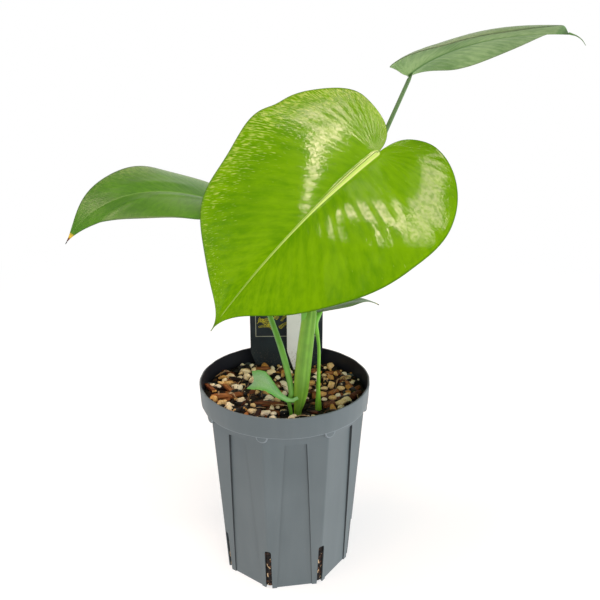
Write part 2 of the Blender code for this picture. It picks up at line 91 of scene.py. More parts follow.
GUSSET_RADIUS = 4.1 * MM
SHARP_EDGE = math.radians(32)
# The third finish is painted shade on the side walls of the panels' recesses, and the fourth a painted
# highlight on the collar's lower lip and the gussets' rounded ends.
GREY, LINING, SHADED_STEP, HIGHLIT_EDGE = range(4)     # the pot's finishes, in the order of its material slots


def linear(hex_colour):
    """An sRGB hex colour as linear RGBA."""
    channels = [int(hex_colour[k:k + 2], 16) / 255 for k in (1, 3, 5)]
    return (*[c / 12.92 if c <= 0.04045 else ((c + 0.055) / 1.055) ** 2.4 for c in channels], 1.0)


def new_material(name):
    """A material with an empty Principled shader, and its node tree."""
    material = bpy.data.materials.new(name)
    material.use_nodes = True
    return material, material.node_tree


def feed(tree, made, inputs):
    """Set a node's inputs, by name or in order, each to a value, a socket, or a node whose first output
    in use feeds it."""
    for key, value in inputs.items() if isinstance(inputs, dict) else enumerate(inputs):
        if isinstance(value, bpy.types.Node):
            value = next(socket for socket in value.outputs if socket.enabled)
        if isinstance(value, bpy.types.NodeSocket):
            tree.links.new(value, made.inputs[key])
        else:
            made.inputs[key].default_value = value


def node(tree, kind, inputs=(), stops=(), **settings):
    """One shader node with its settings, its inputs and, for a ramp, its (place, hex colour) stops."""
    made = tree.nodes.new("ShaderNode" + kind)
    for key, value in settings.items():
        setattr(made, key, value)
    feed(tree, made, inputs)
    if stops:
        elements = made.color_ramp.elements
        elements.remove(elements[1])
        for number, (place, hex_colour) in enumerate(stops):
            element = elements.new(place) if number else elements[0]
            element.position = place
            element.color = linear(hex_colour)
    return made


def finish_shader(tree, inputs):
    """Feed the tree's Principled shader."""
    feed(tree, tree.nodes["Principled BSDF"], inputs)


def piece(name, vertices, faces, materials, face_materials=None):
    """A smooth-shaded mesh object that rides on the plant's one body."""
    mesh = bpy.data.meshes.new(name)
    mesh.from_pydata([tuple(v) for v in vertices], [], faces)
    for material in materials:
        mesh.materials.append(material)
    if face_materials:
        mesh.polygons.foreach_set("material_index", face_materials)
    mesh.update()
    mesh.shade_smooth()
    thing = bpy.data.objects.new(name, mesh)
    bpy.context.scene.collection.objects.link(thing)
    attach(thing, "root")
    return thing


def bake_modifiers(thing):
    """Make the evaluated mesh the object's own."""
    bpy.context.view_layer.update()
    graph = bpy.context.evaluated_depsgraph_get()
    mesh = bpy.data.meshes.new_from_object(thing.evaluated_get(graph))
    thing.modifiers.clear()
    thing.data = mesh


def combine(thing, tools, operation):
    """One Boolean with a list of tool objects, which are then removed."""
    collection = bpy.data.collections.new("tools")
    bpy.context.scene.collection.children.link(collection)
    for tool in tools:
        collection.objects.link(tool)
    modifier = thing.modifiers.new(operation.lower(), "BOOLEAN")
    modifier.operation = operation
    modifier.operand_type = "COLLECTION"
    modifier.collection = collection
    modifier.solver = "EXACT"
    bake_modifiers(thing)
    for tool in tools:
        bpy.data.objects.remove(tool, do_unlink=True)
    bpy.data.collections.remove(collection)


def face_distance(z):
    """Centre to the middle of an outer face at height z."""
    corner = CORNER_RADIUS_BOTTOM + (CORNER_RADIUS_TOP - CORNER_RADIUS_BOTTOM) * z / COLLAR_BASE
    return corner * math.cos(EIGHTH / 2)


def half_profile(z, inset, recess):
    """Points (out, across) of one half face at height z, from its middle to the pot's corner."""
    out = face_distance(z) - inset
    half = out * math.tan(EIGHTH / 2)
    height = min(z, PANEL_TOP) / PANEL_TOP
    share = PANEL_SHARE[0] + (PANEL_SHARE[1] - PANEL_SHARE[0]) * height
    edge = share * face_distance(z) * math.tan(EIGHTH / 2) + 0.6 * inset
    fillet = CORNER_FILLET - 0.5 * inset
    flat_end = half - fillet * math.tan(EIGHTH / 2)
    edge = min(edge, flat_end - PANEL_SURROUND)
    deep = out - (PANEL_DEPTH_LOW + (PANEL_DEPTH - PANEL_DEPTH_LOW) * height) * recess
    step = edge + PANEL_STEP
    points = [(deep, edge * share) for share in (0.0, 0.35, 0.7)]
    points += [(deep, edge - 0.5 * MM), (deep, edge), (out, step), (out, step + 0.4 * MM)]
    points += [(out, edge + (flat_end - edge) * 0.75)]
    for angle in (EIGHTH / 2 * k / 3 for k in range(4)):
        points.append((out - fillet + fillet * math.cos(angle), flat_end + fillet * math.sin(angle)))
    return points


def wall_ring(z, inset=0.0, recess=1.0):
    """A closed ring round the octagonal wall."""
    half = half_profile(z, inset, recess)
    whole = [(out, -across) for out, across in reversed(half[1:-1])] + half
    ring = []
    for turn in (EIGHTH * face for face in range(FACES)):
        ring += [Vector((out * math.cos(turn) - across * math.sin(turn),
                         out * math.sin(turn) + across * math.cos(turn), z)) for out, across in whole]
    return ring


def round_ring(z, radius):
    """A circle with a point for each point of the wall's ring under the collar."""
    return [Vector((p.x, p.y, 0)).normalized() * radius + Vector((0, 0, z))
            for p in wall_ring(COLLAR_BASE, 0, 0)]


def shrunk(ring, shares, z):
    """Copies of a ring drawn in toward the middle, at height z."""
    return [[Vector((p.x * share, p.y * share, z)) for p in ring] for share in shares]


def stack(rings):
    """Vertices and faces through equal rings, with a fan to a middle point at either end."""
    sides = len(rings[0])
    vertices = [p for ring in rings for p in ring]
    faces = []
    for low in range(0, (len(rings) - 1) * sides, sides):
        for k in range(sides):
            after = (k + 1) % sides
            faces.append((low + k, low + after, low + sides + after, low + sides + k))
    last = len(vertices) - sides
    vertices.append(sum(rings[0], Vector()) / sides)
    faces += [((k + 1) % sides, k, len(vertices) - 1) for k in range(sides)]
    vertices.append(sum(rings[-1], Vector()) / sides)
    faces += [(last + k, last + (k + 1) % sides, len(vertices) - 1) for k in range(sides)]
    return vertices, faces


def corner_tool(name, corner, vertices, faces, materials=(), sorts=()):
    """An object for a Boolean, modelled along +X and turned to one corner of the pot."""
    mesh = bpy.data.meshes.new(name)
    mesh.from_pydata(vertices, [], faces)
    for material in materials:
        mesh.materials.append(material)
    if sorts:
        mesh.polygons.foreach_set("material_index", sorts)
    mesh.transform(Matrix.Rotation(EIGHTH * (corner + 0.5), 4, "Z"))
    return bpy.data.objects.new(name, mesh)


def slot_cutter(corner):
    """A slot with a round top through the wall at one corner and on under the floor."""
    half = SLOT_WIDTH / 2
    arch = [(half * math.cos(a), SLOT_HEIGHT - half + half * math.sin(a))
            for a in [math.pi * k / 10 for k in range(11)]]
    outline = [(-half, -2 * MM), (half, -2 * MM)] + arch
    vertices = [Vector((x, y, z)) for x in (CORNER_RADIUS_BOTTOM - SLOT_REACH, CORNER_RADIUS_TOP)
                for y, z in outline]
    sides = len(outline)
    faces = [tuple(reversed(range(sides))), tuple(range(sides, 2 * sides))]
    faces += [(k, (k + 1) % sides, sides + (k + 1) % sides, sides + k) for k in range(sides)]
    return corner_tool("slot", corner, vertices, faces)


def gusset(corner, materials):
    """A short boss with a rounded end under the collar, painted lighter there as a highlight, its axis out
    through the corner.
    """
    sides = 24
    rings = []
    for x, share in ((CORNER_RADIUS_TOP - 5 * MM, 1.0), (RIM_RADIUS - 2.0 * MM, 1.0),
                     (RIM_RADIUS - 1.35 * MM, 0.9), (RIM_RADIUS - 1.15 * MM, 0.75)):
        radius = GUSSET_RADIUS * share
        rings.append([Vector((x, radius * math.cos(a), COLLAR_BASE + radius * math.sin(a)))
                      for a in [math.tau * k / sides for k in range(sides)]])
    vertices, faces = stack(rings)
    sorts = [HIGHLIT_EDGE if sides <= k < 3 * sides else GREY for k in range(len(faces))]
    return corner_tool("gusset", corner, vertices, faces, materials, sorts)


def pot_rings():
    """Rings from the middle of the underside up the outside to the rim, and on down the inside."""
    low = COLLAR_LOWER_RADIUS
    outside = shrunk(wall_ring(0, 0.4 * MM), (0.35, 0.7, 1.0), 0)
    outside += [wall_ring(0.12 * MM, 0.12 * MM), wall_ring(0.5 * MM)]
    outside += [wall_ring(z) for z in [PANEL_TOP * (0.03 + 0.95 * k / 16) for k in range(17)]]
    outside += [wall_ring(PANEL_TOP - 0.4 * MM), wall_ring(PANEL_TOP)]
    outside += [wall_ring(z, flare, 0) for z, flare in (
        (PANEL_TOP + PANEL_STEP, 0), (PANEL_TOP + 0.8 * MM, 0), (COLLAR_BASE - 1.2 * MM, 0),
        (COLLAR_BASE - 0.35 * MM, -0.2 * MM), (COLLAR_BASE, -0.8 * MM))]
    outside += [round_ring(COLLAR_BASE + rise * MM, low - cut * MM)
                for rise, cut in ((0.05, 0.5), (0.2, 0.12), (0.6, 0))]
    outside += [round_ring(z, low + (RIM_RADIUS - low) * (z - COLLAR_BASE) / (POT_HEIGHT - COLLAR_BASE))
                for z in (COLLAR_BASE + 5 * MM, COLLAR_BASE + 10 * MM, POT_HEIGHT - 0.8 * MM)]
    outside += [round_ring(POT_HEIGHT - drop * MM, RIM_RADIUS - cut * MM)
                for drop, cut in ((0.3, 0.1), (0, 0.45))]
    inside = [round_ring(z, radius) for z, radius in (
        (POT_HEIGHT - 0.05 * MM, RIM_RADIUS - 0.9 * MM), (POT_HEIGHT - 0.4 * MM, COLLAR_INSIDE),
        (LEDGE_TOP + 5 * MM, COLLAR_INSIDE), (LEDGE_TOP + 0.3 * MM, COLLAR_INSIDE),
        (LEDGE_TOP, COLLAR_INSIDE - 0.4 * MM))]
    inside += [wall_ring(LEDGE_TOP, WALL - 0.3 * MM, 0)]
    inside += [wall_ring(z, WALL, 0) for z in (LEDGE_TOP - 0.6 * MM, PANEL_TOP + 1.6 * MM)]
    inside += [wall_ring(z, WALL) for z in (PANEL_TOP + 0.6 * MM, PANEL_TOP * 0.5, 10 * MM, POT_FLOOR)]
    inside += shrunk(wall_ring(POT_FLOOR, WALL), (0.7, 0.35), POT_FLOOR)
    return outside, inside


def moulded_polypropylene(name, shade, fleck, gloss):
    """Satin injection-moulded plastic: an even colour with faint flow marks and a few scuffs."""
    material, tree = new_material(name)
    place = node(tree, "TexCoord").outputs["Object"]
    upright = node(tree, "Mapping", {"Vector": place, "Scale": (1 / (9 * MM), 1 / (9 * MM), 1 / (70 * MM))})
    flow = node(tree, "TexNoise", {"Vector": upright, "Scale": 1.0, "Detail": 3.0})
    cloud = node(tree, "TexNoise", {"Vector": place, "Scale": 1 / (38 * MM), "Detail": 2.0})
    both = node(tree, "Mix", {0: 0.6, 2: flow, 3: cloud}, data_type="FLOAT")
    colour = node(tree, "ValToRGB", [both], ((0.3, shade[0]), (0.7, shade[1])))
    dust = node(tree, "TexNoise", {"Vector": place, "Scale": 1 / (1.6 * MM), "Detail": 4.0, "Roughness": 0.7})
    specks = node(tree, "MapRange", [dust, 0.69, 0.76, 0.0, 0.45])
    dusty = node(tree, "Mix", {0: specks, 6: colour, 7: linear(fleck)}, data_type="RGBA")
    rough = node(tree, "MapRange", [cloud, 0.3, 0.7, gloss, gloss + 0.1])
    grain = node(tree, "TexNoise", {"Vector": place, "Scale": 1 / (0.5 * MM), "Detail": 2.0})
    bump = node(tree, "Bump", {"Strength": 0.25, "Distance": 0.03 * MM, "Height": grain})
    waves = node(tree, "Bump", {"Strength": 0.5, "Distance": 0.25 * MM, "Height": flow, "Normal": bump})
    finish_shader(tree, {"Base Color": dusty, "Roughness": rough, "IOR": 1.49, "Normal": waves})
    return material


pot_finishes = [moulded_polypropylene(*look) for look in (
    ("grey_moulded_polypropylene", ("#535E62", "#5F696D"), "#969D9E", 0.42),
    ("black_polypropylene_lining", ("#16171E", "#20222A"), "#5A5E66", 0.4),
    # Painted shade: a darker grey for the side walls of the panels' recesses.
    ("painted_shade_in_the_panel_edges", ("#2A2E30", "#3C4143"), "#4A4E50", 0.6),
    # Painted highlight: a lighter grey for the collar's lower lip and the gussets' rounded ends.
    ("polypropylene_edge_with_painted_highlight", ("#6C757B", "#7E888E"), "#9AA2A8", 0.45))]
outside, inside = pot_rings()
vertices, faces = stack(outside + inside)
sides = len(outside[0])
outer_faces = (len(outside) - 1) * sides
ring_faces = (len(outside + inside) - 1) * sides
sorts = [LINING if outer_faces + sides <= k < ring_faces else GREY for k in range(len(faces))]
sorts[-sides:] = [LINING] * sides
for k, face in enumerate(faces[:outer_faces]):
    heights = [vertices[j].z for j in face]
    strip = k % sides % (sides // FACES)
    # The side walls of each panel's recess take the painted shade.
    if strip in RECESS_WALLS and 0.3 * MM < min(heights) and max(heights) <= PANEL_TOP:
        sorts[k] = SHADED_STEP
    # The collar's lower lip takes the painted highlight.
    if COLLAR_BASE < min(heights) and max(heights) < COLLAR_BASE + 0.7 * MM:
        sorts[k] = HIGHLIT_EDGE
pot = piece("nursery_pot", vertices, faces, pot_finishes, sorts)
combine(pot, [gusset(corner, pot_finishes) for corner in range(FACES)], "UNION")
combine(pot, [slot_cutter(corner) for corner in range(FACES)], "DIFFERENCE")
pot.data.set_sharp_from_angle(angle=SHARP_EDGE)
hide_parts("pot")

# Potting mix
# Coarse aroid mix: pumice stones, bark chips, bits of charcoal and coir fibres in dark fines. It fills
# the pot, shows through the drainage slots, and holds the stems and the labels.
SOIL_TOP = 132.3 * MM
SEED = 11
SLACK = 0.35 * MM         # between the mix and the pot's wall
TRIES_EACH = 30           # places tried for each loose bit before the heap counts as full
FIBRES = 90
FIBRE_REACH = 52 * MM     # from the pot's middle
ROOT_POINTS = 13          # of the root that shows in each slot
# What shows most, in millimetres: chips (x, y, half length, half width, turn, tint), stones (x, y,
# radius, tint), slivers of wood (x, y, turn, length), and the stems' feet (x, y, radius)
SHOWN_CHIPS = ((-12.8, -18.6, 10.0, 2.4, -13, 0.75), (27.5, -25.0, 4.6, 3.0, 25, 0.7),
               (-36, -2, 6.0, 2.0, 20, 0.8), (33.5, -7.5, 4.5, 1.6, 35, 1.0))
SHOWN_STONES = ((-17.7, -31.4, 3.3, 0.8), (0.0, -39.7, 2.8, 0.75), (-36.6, 27.2, 3.3, 0.6),
                (-38.5, 17.5, 3.0, 0.3), (-45.2, -11.4, 2.8, 0.4), (-25.6, 36.0, 2.9, 0.65),
                (34.0, 2.8, 3.2, 0.35), (35.5, -25.0, 3.2, 0.5), (24.5, -10.5, 3.0, 0.25),
                (-32.1, -10.4, 2.8, 0.7), (-7.0, 30.5, 3.2, 0.6), (-26.0, -28.0, 3.1, 0.55),
                (28.0, -1.5, 2.5, 0.45), (40.0, -3.5, 2.6, 0.4), (31.5, -16.5, 2.4, 0.35),
                (42.0, -14.0, 2.3, 0.55))
SHOWN_SLIVERS = ((37, 1, 60, 12), (43, 11, 15, 9), (33, 9, 125, 9), (46, 4, 100, 10), (-47, -4, 70, 9))
STEM_FEET = ((4.0, -33.5, 3.4), (-0.4, -33.5, 2.0), (19.2, -27.5, 2.6))
VIEW_TURN = math.radians(-7.5)     # the plant and the labels face this far round from the pot's face
TAG_ACROSS, TAG_AWAY, TAG_HALF = 1.5 * MM, 45.0 * MM, 27.5 * MM        # the last is half the width
NAME_ACROSS, NAME_AWAY, NAME_HALF = 10.3 * MM, 39.2 * MM, 8.5 * MM     # of the white label


def seen_from_front(across, away, up=0.0):
    """A place given across and away from the viewer, who looks a little from one side."""
    return Matrix.Rotation(VIEW_TURN, 3, "Z") @ Vector((across, away, up))


def mix_bed():
    """The fines: a body that fills the pot to its wall, with a crumbly top."""
    levels = [POT_FLOOR + 0.3 * MM] * 3 + [z * MM for z in (*range(4, 32, 3), 60, 95, 122)]
    levels.append(LEDGE_TOP - 1.0 * MM)
    shares = [0.35, 0.7] + [1.0] * (len(levels) - 2)
    rings = []
    for z, share in zip(levels, shares):
        rings += shrunk(wall_ring(z, WALL + SLACK, 1.0 if z < PANEL_TOP else 0.0), (share,), z)
    rings += [round_ring(LEDGE_TOP + 0.35 * MM, COLLAR_INSIDE - 0.6 * MM)]
    rings += [round_ring(SOIL_TOP - 0.6 * MM, (COLLAR_INSIDE - 0.5 * MM) * (1 - k / 26)) for k in range(26)]
    vertices, faces = stack(rings)
    for vertex in vertices:
        if vertex.z > SOIL_TOP - MM:
            coarse = noise.noise(vertex / (9 * MM)) * 1.1
            fine = noise.noise(vertex / (2.6 * MM)) * 0.7
            vertex.z += (coarse + fine) * MM
    return vertices, faces


def free_of_stems(x, y, reach):
    """Whether a stone of that reach stands clear of the stems and the labels."""
    for stem_x, stem_y, radius in STEM_FEET:
        if math.hypot(x - stem_x * MM, y - stem_y * MM) < radius * MM + reach * 0.8:
            return False
    turned = Matrix.Rotation(-VIEW_TURN, 3, "Z") @ Vector((x, y, 0))
    for across, away, half in ((TAG_ACROSS, TAG_AWAY, TAG_HALF), (NAME_ACROSS, NAME_AWAY, NAME_HALF)):
        if abs(turned.x - across) < half + reach * 0.6 and abs(turned.y - away) < reach * 0.8 + 0.5 * MM:
            return False
    return True


def add_attribute(thing, name, kind, channel, values):
    """A value for each vertex, which the thing's material reads."""
    attribute = thing.data.attributes.new(name, kind, "POINT")
    attribute.data.foreach_set(channel, values)


class Heap:
    """One mesh gathered from many loose bits of one material, with a tint and a local place for each."""

    def __init__(self):
        self.vertices, self.faces, self.tints, self.places = [], [], [], []

    def add(self, work, matrix, tint):
        start = len(self.vertices)
        work.verts.index_update()
        for vertex in work.verts:
            self.vertices.append(matrix @ vertex.co)
            self.tints.append(tint)
            self.places.extend(vertex.co)
        self.faces += [tuple(start + v.index for v in face.verts) for face in work.faces]
        work.free()

    def build(self, name, material):
        thing = piece(name, self.vertices, self.faces, [material])
        add_attribute(thing, "tint", "FLOAT", "value", self.tints)
        add_attribute(thing, "place", "FLOAT_VECTOR", "vector", self.places)
        return thing


def random_vector(draw):
    return Vector([draw() for k in range(3)])


def pumice_stone(rng, size):
    """A worn lump with a few flattened sides."""
    work = bmesh.new()
    bmesh.ops.create_icosphere(work, subdivisions=3 if size > 2.6 * MM else 2, radius=1.0)
    shift = random_vector(lambda: rng.uniform(0, 90))
    stretch = Vector((rng.uniform(1.05, 1.45), rng.uniform(0.8, 1.0), rng.uniform(0.7, 0.9)))
    cuts = [random_vector(lambda: rng.gauss(0, 1)).normalized() for k in range(5)]
    for vertex in work.verts:
        for cut in cuts:
            over = vertex.co.dot(cut) - 0.6
            if over > 0:
                vertex.co -= cut * over * 0.8
        lump = 1 + 0.26 * noise.noise(vertex.co * 1.3 + shift) + 0.1 * noise.noise(vertex.co * 4 + shift)
        vertex.co = Vector([vertex.co[k] * stretch[k] * size * lump for k in range(3)])
    return work


def bark_chip(rng, length, width, thick):
    """A split chip of pine bark: long, flat, stepped along its grain, with torn ends."""
    work = bmesh.new()
    bmesh.ops.create_cube(work, size=2.0)
    bmesh.ops.subdivide_edges(work, edges=work.edges[:], cuts=5, use_grid_fill=True)
    shift = random_vector(lambda: rng.uniform(0, 90))
    bend = rng.uniform(-0.25, 0.25)
    for vertex in work.verts:
        x, y, z = vertex.co
        end = max(0.0, abs(x) - 0.55) / 0.45
        pinch = 1 - 0.35 * end * end
        corner = 1 - 0.16 * abs(y * z)
        y *= pinch * corner
        z *= pinch * corner
        tear = 0.28 * noise.noise(Vector((x * 0.5, y * 2.2, z * 2.2)) + shift) * (0.4 + end)
        step = 0.35 * noise.noise(Vector((x * 0.6, y * 2.6, 3)) + shift)
        ridge = 0.16 * noise.noise(Vector((x * 1.2, y * 6, z * 6)) + shift)
        vertex.co = Vector(((x + tear) * length, (y + bend * x * x + ridge * 0.4) * width,
                            (z * (1 + step) + ridge) * thick))
    return work


def strand(points, radius, sides=6):
    """A thin round strand through the points, tapering at both ends."""
    work = bmesh.new()
    rings = []
    for k, point in enumerate(points):
        along = (points[min(k + 1, len(points) - 1)] - points[max(k - 1, 0)]).normalized()
        across = along.orthogonal().normalized()
        back = along.cross(across)
        share = k / (len(points) - 1)
        wide = radius * (0.35 + 0.65 * math.sin(math.pi * min(max(share, 0.04), 0.96)) ** 0.4)
        rings.append([work.verts.new(point + across * wide * math.cos(a) + back * wide * math.sin(a))
                      for a in [math.tau * j / sides for j in range(sides)]])
    for low, high in zip(rings, rings[1:]):
        for j in range(sides):
            after = (j + 1) % sides
            work.faces.new((low[j], low[after], high[after], high[j]))
    work.faces.new(list(reversed(rings[0])))
    work.faces.new(rings[-1])
    return work


def wandering(rng, start, heading, length, rise, steps=9):
    """Points of a fibre that lies on the mix and wanders."""
    points = [start.copy()]
    turn = 0.0
    for k in range(steps):
        turn += rng.gauss(0, 0.22)
        tilt = rise * math.cos(math.pi * k / steps)
        step = Vector((math.cos(heading + turn) * math.cos(tilt), math.sin(heading + turn) * math.cos(tilt),
                       math.sin(tilt)))
        points.append(points[-1] + step * length / steps)
    return points


def scatter(rng, heap, count, sizes, make, height, spacing, placed):
    """Lay loose bits on the mix, clear of the stems and of most of each other; sizes and heights above
    the mix's top are in millimetres."""
    laid = 0
    for attempt in range(count * TRIES_EACH):
        size = rng.uniform(sizes[0] * MM, sizes[1] * MM)
        reach = size * 1.3
        radius = (COLLAR_INSIDE - reach - 0.5 * MM) * math.sqrt(rng.random())
        angle = rng.uniform(0, math.tau)
        x, y = radius * math.cos(angle), radius * math.sin(angle)
        if not free_of_stems(x, y, reach):
            continue
        if any(math.hypot(x - a, y - b) < (size + other) * spacing for a, b, other in placed):
            continue
        placed.append((x, y, size))
        tilt = Matrix.Rotation(rng.uniform(-0.4, 0.4), 4, "X")
        tilt = tilt @ Matrix.Rotation(rng.uniform(-0.35, 0.35), 4, "Y")
        turn = Matrix.Rotation(rng.uniform(0, math.tau), 4, "Z")
        lift = SOIL_TOP + rng.uniform(height[0] * MM, height[1] * MM)
        heap.add(make(rng, size), Matrix.Translation((x, y, lift)) @ turn @ tilt, rng.random())
        laid += 1
        if laid == count:
            break


def loose_material(name, colours, roughness, grain_size, grain_depth, contrast):
    """A loose bit's finish: a tint for each, mottled within, with its own grain in millimetres."""
    material, tree = new_material(name)
    tint = node(tree, "Attribute", attribute_name="tint").outputs["Fac"]
    place = node(tree, "Attribute", attribute_name="place").outputs["Vector"]
    stretched = node(tree, "Mapping", {"Vector": place, "Scale": [1 / (size * MM) for size in grain_size]})
    mottle = node(tree, "TexNoise", {"Vector": stretched, "Scale": 1.0, "Detail": 5.0, "Roughness": 0.65})
    shifted = node(tree, "Math", [mottle, -0.5])
    swing = node(tree, "Math", [shifted, contrast, tint], operation="MULTIPLY_ADD")
    colour = node(tree, "ValToRGB", [swing], colours)
    bump = node(tree, "Bump", {"Strength": 0.8, "Distance": grain_depth * MM, "Height": mottle})
    rough = node(tree, "MapRange", [mottle, 0.3, 0.7, roughness - 0.1, roughness + 0.1])
    finish_shader(tree, {"Base Color": colour, "Roughness": rough, "IOR": 1.45, "Normal": bump})
    return material


def crumbled_fines(name):
    """Dark damp crumbs about 1.7 mm across, a few of them pale bits of wood."""
    material, tree = new_material(name)
    place = node(tree, "TexCoord").outputs["Object"]
    crumb = node(tree, "TexVoronoi", {"Vector": place, "Scale": 1 / (1.7 * MM)})
    tone = node(tree, "SeparateColor", [crumb.outputs["Color"]])
    colour = node(tree, "ValToRGB", [tone],
                  ((0.0, "#070404"), (0.5, "#100907"), (0.8, "#21120B"), (0.97, "#5A3A24")))
    dust = node(tree, "TexNoise", {"Vector": place, "Scale": 1 / (0.7 * MM), "Detail": 4.0})
    bump = node(tree, "Bump", {"Strength": 1.0, "Distance": 0.9 * MM, "Height": crumb})
    grain = node(tree, "Bump", {"Strength": 0.8, "Distance": 0.4 * MM, "Height": dust, "Normal": bump})
    finish_shader(tree, {"Base Color": colour, "Roughness": 0.85, "Normal": grain})
    return material


bed = piece("potting_mix_fines", *mix_bed(), [crumbled_fines("dark_fines")])
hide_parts("potting_mix")

rng = random.Random(SEED)
pumice_heap, bark_heap, charcoal_heap, coir_heap = Heap(), Heap(), Heap(), Heap()
lower, upper = [], []      # (x, y, size) of what lies in the bed and of what lies on top of it
for x, y, length, width, turn, tint in SHOWN_CHIPS:
    turned = Matrix.Rotation(math.radians(turn), 4, "Z")
    place = Matrix.Translation((x * MM, y * MM, SOIL_TOP + 1.2 * MM)) @ turned
    bark_heap.add(bark_chip(rng, length * MM, width * MM, 1.5 * MM), place, tint)
    for step in (-0.8, -0.4, 0.0, 0.4, 0.8):
        spot = place @ Vector((step * length * MM, 0, 0))
        upper.append((spot.x, spot.y, width * MM))
for x, y, size, tint in SHOWN_STONES:
    place = Matrix.Translation((x * MM, y * MM, SOIL_TOP + 1.6 * MM))
    pumice_heap.add(pumice_stone(rng, size * MM), place, tint)
    upper.append((x * MM, y * MM, size * MM))
for x, y, turn, length in SHOWN_SLIVERS:
    start = Vector((x * MM, y * MM, SOIL_TOP + MM))
    path = wandering(rng, start, math.radians(turn), length * MM, 0.8)
    coir_heap.add(strand(path, 0.5 * MM), Matrix(), 0.6)
scatter(rng, bark_heap, 90, (2.0, 3.8), lambda r, s: bark_chip(r, s * 1.5, s * 0.6, s * 0.4),
        (-0.8, 0.6), 0.62, lower)
scatter(rng, charcoal_heap, 80, (1.8, 3.2), lambda r, s: bark_chip(r, s * 1.1, s * 0.8, s * 0.6),
        (-0.6, 0.8), 0.6, lower)
scatter(rng, pumice_heap, 96, (1.7, 3.3), pumice_stone, (0.0, 1.9), 0.9, upper)
scatter(rng, bark_heap, 18, (2.2, 4.2), lambda r, s: bark_chip(r, s * 1.7, s * 0.55, s * 0.4),
        (0.8, 2.0), 0.6, upper)
scatter(rng, pumice_heap, 70, (0.7, 1.4), pumice_stone, (0.6, 1.6), 0.7, upper)
for number in range(FIBRES):
    radius = FIBRE_REACH * math.sqrt(rng.random())
    angle = rng.uniform(0, math.tau)
    lift = SOIL_TOP + rng.uniform(1.0, 2.6) * MM
    start = Vector((radius * math.cos(angle), radius * math.sin(angle), lift))
    if free_of_stems(start.x, start.y, 3 * MM):
        heading = angle + rng.choice((-1, 1)) * rng.uniform(1.2, 2.2)
        path = wandering(rng, start, heading, rng.uniform(5, 16) * MM, rng.uniform(0.1, 0.7))
        if all(math.hypot(p.x, p.y) < COLLAR_INSIDE - MM and free_of_stems(p.x, p.y, 0.5 * MM) for p in path):
            coir_heap.add(strand(path, rng.uniform(0.12, 0.34) * MM), Matrix(), rng.random())

# What shows through each drainage slot: chips wedged behind it, and a root that loops past
for corner in range(FACES):
    turn = EIGHTH * (corner + 0.5)
    outward = Vector((math.cos(turn), math.sin(turn), 0))
    sideways = Vector((-math.sin(turn), math.cos(turn), 0))
    for level, heap in enumerate((bark_heap, charcoal_heap) * 2 + (bark_heap, pumice_heap)):
        z = (4.5 + 5.2 * level + rng.uniform(-1, 1)) * MM
        depth = face_distance(z) / math.cos(EIGHTH / 2) - WALL - (3.4 + rng.uniform(0, 1.2)) * MM
        size = rng.uniform(1.7, 2.3) * MM
        bit = pumice_stone(rng, size) if heap is pumice_heap else bark_chip(rng, size * 1.3, size, size * 0.8)
        spin = Matrix.Rotation(rng.uniform(0, math.tau), 4, "X") @ Matrix.Rotation(rng.uniform(0, 3), 4, "Z")
        place = Matrix.Translation(outward * depth + Vector((0, 0, z)))
        heap.add(bit, place @ spin, rng.random() * 0.7)
    swing = rng.uniform(0.9, 1.5)
    path = []
    for k in range(ROOT_POINTS):
        z = (2.2 + 2.0 * k) * MM
        depth = face_distance(z) / math.cos(EIGHTH / 2) - WALL - 0.9 * MM
        depth -= 0.25 * MM * k % MM
        side = swing * MM * math.sin(1.3 * k + corner)
        path.append(outward * depth + sideways * side + Vector((0, 0, z)))
    coir_heap.add(strand(path, 0.5 * MM, 8), Matrix(), 0.95)

for heap, name, look in (
        (pumice_heap, "pumice_stones",
         ("washed_pumice", ((0.0, "#BC8038"), (0.25, "#E0AC62"), (0.5, "#F4D69E"), (0.85, "#FFF0D4")),
          0.8, (0.9, 0.9, 0.9), 0.25, 0.9)),
        (bark_heap, "bark_chips",
         ("split_pine_bark", ((0.0, "#0E0605"), (0.4, "#2A110B"), (0.7, "#663018"), (1.0, "#B4733F")),
          0.72, (5, 0.6, 0.6), 0.4, 1.3)),
        (charcoal_heap, "charcoal_bits",
         ("horticultural_charcoal", ((0.0, "#070606"), (0.6, "#121112"), (1.0, "#2C2B2E")),
          0.45, (1.5, 1.5, 1.5), 0.3, 0.8)),
        (coir_heap, "coir_fibres",
         ("coir_and_roots", ((0.0, "#5B3A22"), (0.5, "#9C7650"), (1.0, "#D2B58E")),
          0.75, (3, 3, 3), 0.05, 0.5))):
    heap.build(name, loose_material(*look))

# Leaves
# Whole, heart-shaped young blades: waxy above, paler and matt below, a channelled midrib, lateral
# veins that fan from it, and the tissue puffed a little between them. The newest one is lime green.
BLADE = 0.55 * MM
RIM_ROUND = 0.18 * MM       # how far the margin's rounding stands out
MARGIN_STEPS = 200
VEIN_STEPS = 36
VEIN_SPACING_POWER = 1.5    # draws the points together towards the midrib
SPINE_STEPS = 24            # of the sum that gives a place on the bent midrib
PRIMARY_VEINS = 33          # lateral veins on each side of a blade
VEIN_BOW = 0.035            # how far a vein bends toward the tip on its way out, as a share of the margin
VEIN_BREADTH = 0.7          # millimetres
ROUNDNESS = 0.5523          # the length of handle that makes a curve a quarter circle
CUP_REACH = 0.3             # the share of the blade's length over which the lobes by the hub are cupped
FAN_SHARE = 0.4             # the share of the margin whose veins start at the hub
ROOT_POWER = 1.2            # how the other veins are spaced along the midrib
TWIST_EASE = 0.07           # the share of the blade's length over which its twist sets in
